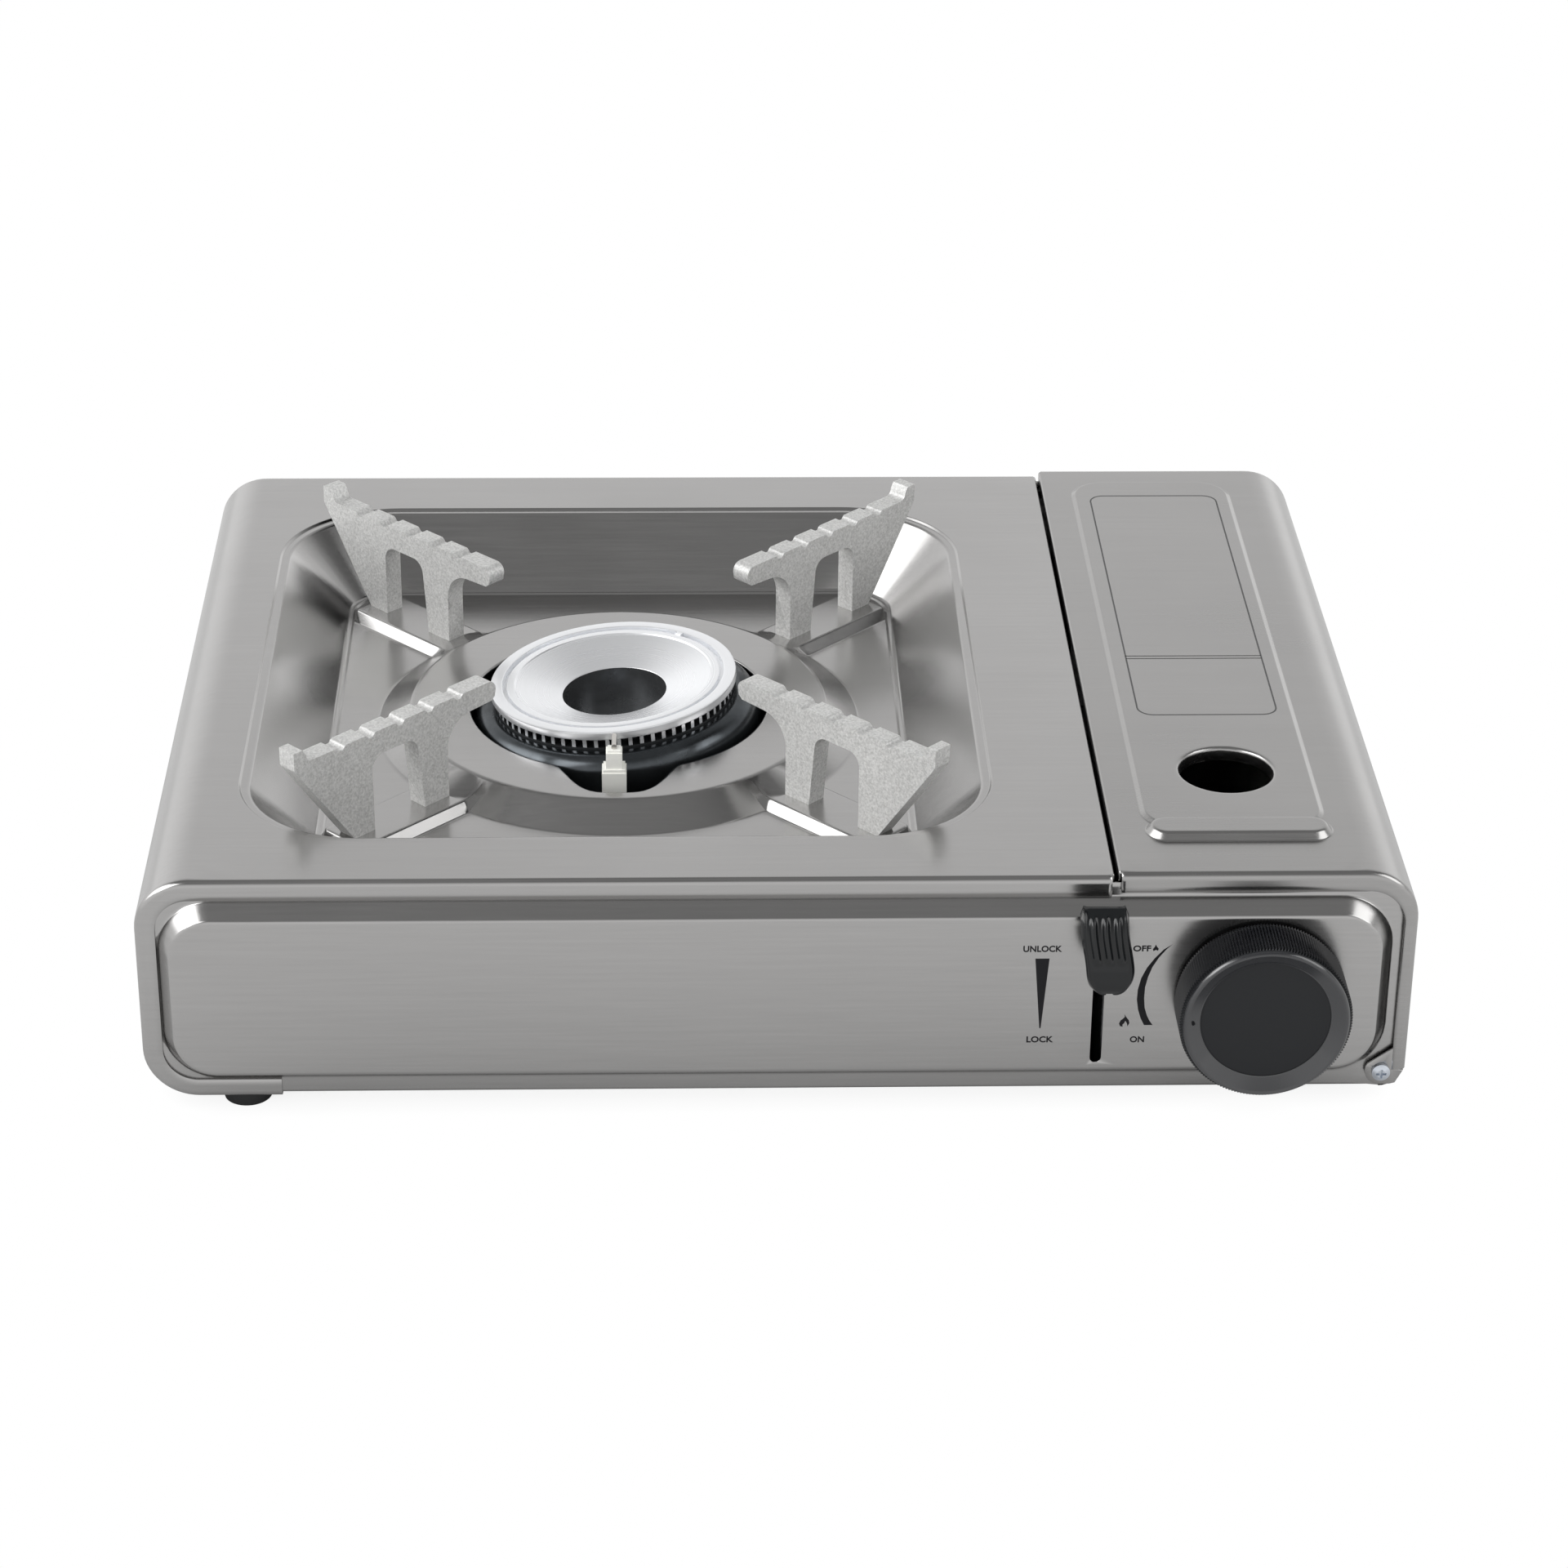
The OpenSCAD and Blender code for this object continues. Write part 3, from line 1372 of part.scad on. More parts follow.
module lever_thumb_tab() in_frame() color(black) {
    z = lever_z + 52;
    difference() {
        intersection() {
            sideways(lever_x - tab_w / 2, tab_w) tab_side();
            translate([lever_x, 0, 0]) upright(tab_back - 30, 40) union() {
                translate([-tab_w / 2, z - 23 + tab_w / 2]) square([tab_w, 40]);
                translate([0, z - 23 + tab_w / 2]) circle(d = tab_w);
            }
        }
        // Three grip grooves down the upper half
        for (i = [-1:1]) translate([lever_x + i * 3.4, 0, 0]) sideways(-0.6, 1.2) difference() {
            translate([tab_back - 20, z - 14]) square([20, 13]);
            translate([0.7, -0.5]) tab_side();
        }
        sideways(lever_x - lever_t / 2 - 0.05, lever_t + 0.1) lever_plate(0.05);
    }
}

module lever_pin() in_frame() color(zinc) {
    x0 = lever_x - 5.2;
    sideways(x0, partition_x + sheet_t - x0) translate([lever_y, lever_z]) circle(d = lever_pin_d);
}

module lever_bracket() in_frame() color(steel) {
    x0 = lever_x - 3.8;
    r = 2 * lever_pin_d;
    t = rail_t;
    difference() {
        union() {
            sideways(x0, t) {
                translate([lever_y - r, sheet_t]) square([2 * r, lever_z - sheet_t]);
                translate([lever_y, lever_z]) circle(r = r);
            }
            translate([x0 - r - 2, lever_y - r, sheet_t]) cube([r + 2 + eps, 2 * r, t]);
        }
        sideways(x0 - 1, t + 2) translate([lever_y, lever_z])
            circle(d = lever_pin_d + 2 * seat_gap);
    }
}

bay_y0 = -flange_y + 54.5;
bay_y1 = bay_y0 + cartridge_len;
pusher_y = bay_y1 + 1.5;
pusher_w = cartridge_d - 4;
pusher_t = 1.5;
pusher_z = sheet_t + 0.4;
pusher_foot = 12;
fork_w = 8.6;
fork_back = 5;

module cartridge_carriage() in_frame() color(steel) {
    fork_y = lever_y - fork_back;
    difference() {
        union() {
            sideways(rail_x, rail_t) translate([fork_y, rail_z - rail_h / 2]) {
                square([pusher_y + pusher_t - fork_y, rail_h]);
                square([fork_w, crank[1] + fork_back - rail_z + rail_h / 2]);
            }
            translate([rail_x, pusher_y, rail_z - rail_h / 2])
                cube([gas_x - rail_x, pusher_t, rail_h]);
            translate([gas_x - pusher_w / 2, pusher_y, pusher_z]) {
                cube([pusher_w, pusher_t, cartridge_d - 14]);
                cube([pusher_w, pusher_foot, pusher_t]);
            }
        }
        sideways(rail_x - 1, rail_t + 2) {
            bar(crank - [0, 4.5], crank + [0, 1.5], crank_pin_d + 0.8);
            for (y = rivet_ys) bar([y, rail_z], [y + stroke, rail_z], rivet_d + 1);
        }
    }
}

module carriage_rivets() in_frame() color(zinc) {
    for (y = rivet_ys) translate([partition_x, y, rail_z]) rotate([0, 90, 0]) {
        translate([0, 0, -0.9]) cylinder(h = 0.9, d = rivet_d + 3);
        cylinder(h = rail_x + rail_t + 0.4 - partition_x, d = rivet_d);
        translate([0, 0, rail_x + rail_t + 0.4 - partition_x]) cylinder(h = 0.9, d = rivet_d + 3);
    }
}

base_tray();
top_shell();
cartridge_lid();
partition_wall();
pan_support_front_left();
pan_support_front_right();
pan_support_rear_left();
pan_support_rear_right();
support_screws();
burner_head();
burner_head_screws();
burner_bowl();
mixing_tube();
burner_bracket();
electrode_ceramic();
electrode_wire();
electrode_clip();
ignition_lead();
regulator_body();
regulator_cover();
regulator_cover_screws();
gas_jet();
cartridge_guide();
regulator_bracket();
regulator_screws();
valve_stem();
igniter_cam();
control_knob();
igniter_body();
igniter_plunger();
lever_arm();
lever_thumb_tab();
lever_pin();
lever_bracket();
cartridge_carriage();
carriage_rivets();
hinge_screws();
rubber_feet();
foot_screws();
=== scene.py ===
import math

import bmesh
import bpy
from bpy.props import FloatProperty, IntProperty, PointerProperty
from bpy.types import Operator, Panel, PropertyGroup
from mathutils import Matrix, Vector
from mathutils.geometry import delaunay_2d_cdt


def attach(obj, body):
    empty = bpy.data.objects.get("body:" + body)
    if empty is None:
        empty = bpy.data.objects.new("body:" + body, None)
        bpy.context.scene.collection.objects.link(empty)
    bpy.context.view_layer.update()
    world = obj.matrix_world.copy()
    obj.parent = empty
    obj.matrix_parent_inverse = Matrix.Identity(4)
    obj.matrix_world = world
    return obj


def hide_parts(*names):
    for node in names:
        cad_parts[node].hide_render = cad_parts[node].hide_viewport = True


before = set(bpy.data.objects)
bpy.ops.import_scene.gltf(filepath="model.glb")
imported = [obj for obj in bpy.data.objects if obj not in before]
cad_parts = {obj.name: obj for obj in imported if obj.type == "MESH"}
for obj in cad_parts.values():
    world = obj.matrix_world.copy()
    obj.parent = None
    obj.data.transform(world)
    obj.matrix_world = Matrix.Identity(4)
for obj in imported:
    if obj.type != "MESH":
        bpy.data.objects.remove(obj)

bl_info = {
    "name": "Cassette stove",
    "version": (1, 0, 0),
    "blender": (4, 5, 0),
    "location": "View3D > Sidebar > Stove",
    "description": "Dresses the packed cassette stove with pressed sheets, castings and finishes",
    "category": "Add Mesh",
}

# Shapes are worked out in millimetres in the case frame: X across, Y to the rear, Z up from
# the underside of the tray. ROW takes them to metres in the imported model's frame.
MM = 0.001

# Places that several pieces share, in the case frame
BURNER_SEAT = (-48, -1.2, 57)
BURNER_LEAN = 4.5
KNOB_X, KNOB_Z = 139.5, 35
LEVER_X = 92.7
HINGE_IN, HINGE_Z = 7.4, 6.1  # from the right side, and up
CARTRIDGE_X = 139.5
RIB_ANGLES = (45, 135, 225, 315)
SIDES = (-1, 1)  # front and rear, or left and right

# Bends of the pressed forms: (radius at the foot, radius at the top)
RING_BENDS = (3.0, 3.0)
RIB_BENDS = (1.2, 1.4)
# Whole borders: (run, rise, radius at the foot, radius at the top)
PANEL_BORDER = (1.5, 1.0, 1.0, 1.0)
GRIP_BORDER = (1.9, 2.2, 0.8, 1.5)

LIP_BEND = 0.8
BEND_STEPS = 14
MIDDLE_COUNT = 30
INK_HEIGHT = 0.03
INK_GAP = 0.01

# ---------------------------------------------------------------- settings

def length(name, description, millimetres):
    return FloatProperty(name=name, description=description, default=millimetres * MM,
                         unit="LENGTH", precision=4)


class StoveCase(PropertyGroup):
    width: length("Width", "Width of the case", 370)
    depth: length("Depth", "Depth over the rim flanges", 285)
    height: length("Height", "Height of the top sheet", 71.3)
    sheet: length("Sheet", "Thickness of the sheet", 0.8)
    corner: length("Corner", "Radius of the long corners", 16)
    bend: length("Bend", "Radius of the bend to the rim flange", 2)
    rim: length("Rim", "Width of the rim flange", 6)
    curl: length("Curl", "Length of the curl under the tray", 40)
    split: length("Split", "Place of the split between shell and lid", 97)
    lid_up: length("Lid step", "Height of the lid above the top sheet", 1.5)
    lid_side: length("Lid side", "Width of the lid's flange down its side", 4.2)
    face_rise: length("Face rise", "How far the pressed face stands out", 5.9)
    face_slope: length("Face slope", "Run of the pressed face's border", 4)
    shift: length("Shift", "Shift of the case towards the rear in the frame", 8.45)
    feet: length("Feet", "Height of the tray above the table", 6)


class StoveRecess(PropertyGroup):
    centre_x: length("Centre X", "Centre of the recess", -47)
    centre_y: length("Centre Y", "Centre of the recess", -1.2)
    width: length("Width", "Width at the top sheet", 225)
    depth: length("Depth", "Depth at the top sheet", 233.5)
    corner: length("Corner", "Corner radius at the top sheet", 38)
    run: length("Run", "Run of the sloping walls", 24)
    drop: length("Drop", "Drop from the top sheet to the floor", 21.3)
    soft: length("Soft", "Radius of the bends", 1.8)
    step: length("Step", "Height of the small step round the recess", 0.7)
    ring_foot: length("Ring foot", "Radius of the ring's foot", 76.5)
    ring_top: length("Ring top", "Radius of the ring's top edge", 65.35)
    ring_height: length("Ring height", "Height of the ring", 7)
    hole: length("Hole", "Radius of the burner opening", 47)
    notch_reach: length("Notch reach", "Reach of the electrode notch", 60.7)
    notch_width: length("Notch width", "Width of the electrode notch", 38)
    rib_height: length("Rib height", "Height of the ribs", 3.2)
    rib_half: length("Rib half", "Half width of the foot of a rib", 11.5)
    rib_slope: length("Rib slope", "Width of the border of a rib", 3)
    rib_end: length("Rib end", "Distance of a rib's end from the centre", 119)


class StoveLooks(PropertyGroup):
    grain: FloatProperty(name="Grain", description="Strength of the brushed grain", default=0.3)
    cast_grain: FloatProperty(name="Cast grain", description="Strength of the cast grain",
                              default=0.6)
    lamp_power: FloatProperty(name="Lamp power", description="Power of the key lamp", default=6.0,
                              unit="POWER")
    flame_slots: IntProperty(name="Flame slots", description="Slots around the burner", default=66)
    knob_ridges: IntProperty(name="Knob ridges", description="Ridges around the knob", default=170)


# ---------------------------------------------------------------- helpers

def mm(group, name):
    return getattr(group, name) / MM


def to_row(scene):
    case = scene.stove_case
    return Matrix.Scale(MM, 4) @ Matrix.Translation((0, mm(case, "shift"), mm(case, "feet")))


def arc(cx, cy, radius, start, end, steps):
    out = []
    for i in range(steps + 1):
        a = math.radians(start + (end - start) * i / steps)
        out.append((cx + radius * math.cos(a), cy + radius * math.sin(a)))
    return out


def resample(points, gap):
    """Splits the long sides of a closed outline."""
    out = []
    for i, p in enumerate(points):
        q = points[(i + 1) % len(points)]
        n = max(1, round(math.dist(p, q) / gap))
        out += [(p[0] + (q[0] - p[0]) * k / n, p[1] + (q[1] - p[1]) * k / n) for k in range(n)]
    return out


def rounded(x0, x1, y0, y1, radius, steps=14, gap=10.0):
    """Closed outline of a rectangle with round corners."""
    r = max(radius, 0.05)
    corners = (arc(x1 - r, y1 - r, r, 0, 90, steps) + arc(x0 + r, y1 - r, r, 90, 180, steps)
               + arc(x0 + r, y0 + r, r, 180, 270, steps) + arc(x1 - r, y0 + r, r, 270, 360, steps))
    return resample(corners, gap)


def inside(points, x, y):
    hit = False
    for i, (x0, y0) in enumerate(points):
        x1, y1 = points[i - 1]
        if (y0 > y) != (y1 > y) and x < (x1 - x0) * (y - y0) / (y1 - y0) + x0:
            hit = not hit
    return hit


def box_distance(x, y, x0, x1, y0, y1, radius):
    """Signed distance to a rounded rectangle, negative inside."""
    qx = abs(x - (x0 + x1) / 2) - (x1 - x0) / 2 + radius
    qy = abs(y - (y0 + y1) / 2) - (y1 - y0) / 2 + radius
    return math.hypot(max(qx, 0), max(qy, 0)) + min(max(qx, qy), 0) - radius


def press(u, run, rise, foot_r, top_r):
    """Height of a pressed border at u past its foot: fillet, slope, fillet."""
    a = math.atan2(rise, run)
    low = foot_r * math.tan(a / 2)
    high = top_r * math.tan(a / 2)
    if u <= -low:
        return 0.0
    if u < low * math.cos(a):
        return foot_r - math.sqrt(max(foot_r ** 2 - (u + low) ** 2, 0))
    if u <= run - high * math.cos(a):
        return u * rise / run
    if u < run + high:
        return rise - top_r + math.sqrt(max(top_r ** 2 - (run + high - u) ** 2, 0))
    return rise


def press_lines(run, rise, foot_r, top_r):
    """Offsets past the foot at which the mesh follows a pressed border."""
    a = math.atan2(rise, run)
    low = foot_r * math.tan(a / 2)
    high = top_r * math.tan(a / 2)
    foot = [-low + foot_r * math.sin(a * k / 5) for k in range(6)]
    top = [run + high - top_r * math.sin(a * k / 5) for k in range(5, -1, -1)]
    return [foot[0] - 0.7] + foot + top + [top[-1] + 0.7]


def soft_max(a, b, k):
    h = max(k - abs(a - b), 0) / k
    return max(a, b) + h * h * k * 0.25


def drop_loose(bm, verts):
    bmesh.ops.delete(bm, geom=[v for v in verts if not v.link_faces], context="VERTS")


def fill_field(bm, outline, loops, holes, place):
    """Fills an outline with triangles that follow the loops, and places each point."""
    coords, edges = [], []
    for loop in [outline] + loops + holes:
        start = len(coords)
        coords += [Vector(p) for p in loop]
        edges += [(start + i, start + (i + 1) % len(loop)) for i in range(len(loop))]
    verts, _, faces, *_ = delaunay_2d_cdt(coords, edges, [], 1, 1e-4)
    made = [bm.verts.new(place(v.x, v.y)) for v in verts]
    for face in faces:
        x = sum(verts[i].x for i in face) / 3
        y = sum(verts[i].y for i in face) / 3
        if not any(inside(h, x, y) for h in holes):
            bm.faces.new([made[i] for i in face])
    drop_loose(bm, made)


def loft(bm, rows, closed=False, skip=None):
    """Bridges rows of points into a sheet of quads."""
    grid = [[bm.verts.new(p) for p in row] for row in rows]
    count = len(grid[0])
    for j in range(len(grid) - 1):
        for i in range(count if closed else count - 1):
            if skip and skip(j, i):
                continue
            k = (i + 1) % count
            ring = [grid[j][i], grid[j][k], grid[j + 1][k], grid[j + 1][i]]
            if len({tuple(v.co) for v in ring}) > 2:
                bm.faces.new(ring)
    drop_loose(bm, [v for row in grid for v in row])


def turn_profile(bm, points, steps, matrix=None):
    """Spins a profile of (radius, height) about Z."""
    ring = [bm.verts.new((r, 0, z)) for r, z in points]
    edges = [bm.edges.new((ring[i], ring[i + 1])) for i in range(len(ring) - 1)]
    bmesh.ops.spin(bm, geom=ring + edges, cent=(0, 0, 0), axis=(0, 0, 1),
                   angle=math.tau, steps=steps, use_merge=True)
    if matrix is not None:
        bmesh.ops.transform(bm, matrix=matrix, verts=bm.verts)


def raise_faces(bm, offset):
    """Extrudes the whole mesh by an offset."""
    moved = bmesh.ops.extrude_face_region(bm, geom=bm.faces[:])["geom"]
    bmesh.ops.translate(bm, vec=offset,
                        verts=[g for g in moved if isinstance(g, bmesh.types.BMVert)])


def face_out(bm, towards):
    """Turns every face so that the sheet's face seen from a point is its front."""
    bmesh.ops.remove_doubles(bm, verts=bm.verts, dist=0.004)
    bmesh.ops.recalc_face_normals(bm, faces=bm.faces)
    best = max(bm.faces, key=lambda f: f.calc_area())
    if best.normal.dot(Vector(towards) - best.calc_center_median()) < 0:
        bmesh.ops.reverse_faces(bm, faces=bm.faces)


def even_shading(obj):
    """Keeps broad faces flat where they meet small bends."""
    mod = obj.modifiers.new("crisp", "WEIGHTED_NORMAL")
    mod.mode = "FACE_AREA"
    mod.keep_sharp = True


def new_piece(context, name, bm, body, slot, finishes, stands_for=(), sharp=35.0, crisp=True):
    """Makes the finished piece: place in the mesh, object at the origin, riding on a body."""
    bmesh.ops.transform(bm, matrix=to_row(context.scene), verts=bm.verts)
    mesh = bpy.data.meshes.new(name)
    bm.to_mesh(mesh)
    bm.free()
    for finish in finishes:
        mesh.materials.append(look(finish))
    obj = bpy.data.objects.new(name, mesh)
    context.collection.objects.link(obj)
    mesh.shade_smooth()
    mesh.set_sharp_from_angle(angle=math.radians(sharp))
    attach(obj, body)
    if stands_for:
        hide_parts(*stands_for)
    if crisp:
        even_shading(obj)
    return obj


def closed_piece(context, name, bm, *args, **kwargs):
    """A solid piece: doubles merged and normals turned outwards."""
    bmesh.ops.remove_doubles(bm, verts=bm.verts, dist=0.003)
    bmesh.ops.recalc_face_normals(bm, faces=bm.faces)
    return new_piece(context, name, bm, *args, **kwargs)


def thicken(obj, millimetres):
    mod = obj.modifiers.new("sheet", "SOLIDIFY")
    mod.thickness = millimetres * MM
    mod.offset = -1
    mod.use_even_offset = True
    mod.use_quality_normals = True
    even_shading(obj)


def soften(obj, millimetres, segments, angle):
    mod = obj.modifiers.new("soft_edges", "BEVEL")
    mod.width = millimetres * MM
    mod.segments = segments
    mod.limit_method = "ANGLE"
    mod.angle_limit = math.radians(angle)


# ---------------------------------------------------------------- materials

def node(tree, kind, values, **settings):
    """A node with its settings, and with numbers or linked sockets as its inputs."""
    made = tree.nodes.new(kind)
    for key, value in settings.items():
        setattr(made, key, value)
    for label, value in values.items():
        if isinstance(value, bpy.types.NodeSocket):
            tree.links.new(value, made.inputs[label])
        else:
            made.inputs[label].default_value = value
    return made


def math_node(tree, operation, *values):
    return node(tree, "ShaderNodeMath", dict(enumerate(values)), operation=operation).outputs[0]


def vector_node(tree, operation, *values):
    return node(tree, "ShaderNodeVectorMath", dict(enumerate(values)), operation=operation)


def noise(tree, coords, scale, stretch, detail, rough):
    """Noise drawn out along the axes with a small stretch."""
    mapping = node(tree, "ShaderNodeMapping", {"Vector": coords, "Scale": stretch})
    return node(tree, "ShaderNodeTexNoise", {
        "Vector": mapping.outputs["Vector"], "Scale": scale, "Detail": detail,
        "Roughness": rough}).outputs["Fac"]


def to_range(tree, value, low, high, out_low, out_high):
    return node(tree, "ShaderNodeMapRange", {
        "Value": value, "From Min": low, "From Max": high, "To Min": out_low,
        "To Max": out_high}).outputs["Result"]


def finish_group(name, *own_inputs):
    """A group that turns a base colour into a finish: colour, roughness and normal."""
    group = bpy.data.node_groups.new(name, "ShaderNodeTree")
    inputs = (("Base", "NodeSocketColor", (0.4, 0.4, 0.4, 1)),
              ("Roughness", "NodeSocketFloat", 0.3),
              ("Grain", "NodeSocketFloat", 0.5)) + own_inputs
    for label, kind, default in inputs:
        item = group.interface.new_socket(label, in_out="INPUT", socket_type=kind)
        item.default_value = default
    for label, kind in (("Color", "NodeSocketColor"), ("Roughness", "NodeSocketFloat"),
                        ("Normal", "NodeSocketVector")):
        group.interface.new_socket(label, in_out="OUTPUT", socket_type=kind)
    enter = group.nodes.new("NodeGroupInput").outputs
    coords = node(group, "ShaderNodeTexCoord", {}).outputs["Object"]
    return group, enter, coords


def end_group(group, enter, tint, roughen, relief, depth):
    """Tints the base, shifts its roughness, and makes the relief a normal."""
    shade = node(group, "ShaderNodeCombineColor", {"Red": tint, "Green": tint, "Blue": tint})
    tone = node(group, "ShaderNodeMix",
                {"Factor": 1.0, "A": enter["Base"], "B": shade.outputs["Color"]},
                data_type="RGBA", blend_type="MULTIPLY")
    bump = node(group, "ShaderNodeBump",
                {"Strength": enter["Grain"], "Distance": depth, "Height": relief})
    node(group, "NodeGroupOutput", {
        "Color": tone.outputs["Result"], "Normal": bump.outputs["Normal"],
        "Roughness": math_node(group, "ADD", enter["Roughness"], roughen)})
    return group


def brushed_group():
    """Brushed grain along X with cloudy smudges."""
    group, enter, coords = finish_group("brushed_grain")
    fine = noise(group, coords, 900.0, (0.03, 1.0, 1.0), 4.0, 0.7)
    wide = noise(group, coords, 160.0, (0.05, 1.0, 1.0), 3.0, 0.6)
    smudge = noise(group, coords, 14.0, (1.0, 1.0, 1.0), 4.0, 0.55)
    tint = math_node(group, "ADD", to_range(group, fine, 0.3, 0.7, -0.03, 0.03),
                     to_range(group, wide, 0.3, 0.7, 0.99, 1.01))
    roughen = math_node(group, "ADD", to_range(group, smudge, 0.35, 0.65, -0.02, 0.03),
                        to_range(group, fine, 0.3, 0.7, -0.02, 0.02))
    return end_group(group, enter, tint, roughen, fine, 0.00002)


def grain_group():
    """Even grain with pits and stains, for castings, plating, plastics and rubber."""
    group, enter, coords = finish_group(
        "fine_grain", ("Scale", "NodeSocketFloat", 700.0), ("Contrast", "NodeSocketFloat", 0.1),
        ("Depth", "NodeSocketFloat", 0.00004))
    grain = node(group, "ShaderNodeTexNoise", {
        "Vector": coords, "Scale": enter["Scale"], "Detail": 3.0,
        "Roughness": 0.65}).outputs["Fac"]
    stain = noise(group, coords, 45.0, (1.0, 1.0, 1.0), 4.0, 0.6)
    tint = math_node(group, "MULTIPLY_ADD", math_node(group, "SUBTRACT", grain, 0.5),
                     enter["Contrast"], to_range(group, stain, 0.3, 0.7, 0.96, 1.04))
    return end_group(group, enter, tint, to_range(group, stain, 0.35, 0.65, -0.05, 0.05), grain,
                     enter["Depth"])


def lathe_group():
    """Turning marks in rings about the burner's axis."""
    group, enter, coords = finish_group("lathe_marks", ("Centre", "NodeSocketVector", (0, 0, 0)))
    off = vector_node(group, "SUBTRACT", coords, enter["Centre"]).outputs[0]
    place = node(group, "ShaderNodeSeparateXYZ", {0: off}).outputs
    flat = node(group, "ShaderNodeCombineXYZ", {"X": place["X"], "Y": place["Y"]}).outputs[0]
    radius = vector_node(group, "LENGTH", flat).outputs["Value"]
    marks = node(group, "ShaderNodeTexNoise", {"W": radius, "Scale": 1700.0, "Detail": 4.0},
                 noise_dimensions="1D").outputs["Fac"]
    return end_group(group, enter, to_range(group, marks, 0.3, 0.7, 0.975, 1.01),
                     to_range(group, marks, 0.3, 0.7, -0.015, 0.015), marks, 0.00001)


def look(name):
    """The finish of that name, apart from the slots' own materials in the frame."""
    return bpy.data.materials["finish_" + name]


def finish_material(name, group, base, roughness, metallic, grain, extra, gloss=0.5):
    """A material whose colour, roughness and normal come from a finish group."""
    material = bpy.data.materials.new("finish_" + name)
    material.use_nodes = True
    material.diffuse_color = (*base, 1)
    tree = material.node_tree
    shader = tree.nodes["Principled BSDF"].inputs
    shader["Metallic"].default_value = metallic
    shader["Specular IOR Level"].default_value = gloss
    finish = node(tree, "ShaderNodeGroup", {
        "Base": (*base, 1), "Roughness": roughness, "Grain": grain, **extra}, node_tree=group)
    for label, result in (("Base Color", "Color"), ("Roughness", "Roughness"),
                          ("Normal", "Normal")):
        tree.links.new(finish.outputs[result], shader[label])


NODE_FINISHES = {
    "stainless": ("base_tray", "top_shell"),
    "stainless_lid": ("cartridge_lid",),
    "cast_aluminium": ("pan_support_front_left", "pan_support_front_right",
                       "pan_support_rear_left", "pan_support_rear_right"),
    "turned_aluminium": ("burner_head",),
    "zinc_bowl": ("burner_bowl", "regulator_cover"),
    "galvanised": ("partition_wall", "regulator_bracket", "lever_bracket", "cartridge_guide",
                   "cartridge_carriage", "electrode_clip", "burner_bracket"),
    "zinc_casting": ("regulator_body", "mixing_tube"),
    "zinc_screw": ("support_screws", "burner_head_screws", "regulator_cover_screws",
                   "regulator_screws", "hinge_screws", "foot_screws", "carriage_rivets",
                   "lever_pin"),
    "electrode_steel": ("electrode_wire",),
    "white_ceramic": ("electrode_ceramic",),
    "white_plastic": ("igniter_plunger",),
    "black_plastic": ("igniter_body", "igniter_cam"),
    "blackened_steel": ("lever_arm",),
    "brass": ("gas_jet", "valve_stem"),
    "lead_rubber": ("ignition_lead",),
    "foot_rubber": ("rubber_feet",),
    "knob_plastic": ("control_knob",),
    "tab_plastic": ("lever_thumb_tab",),
}


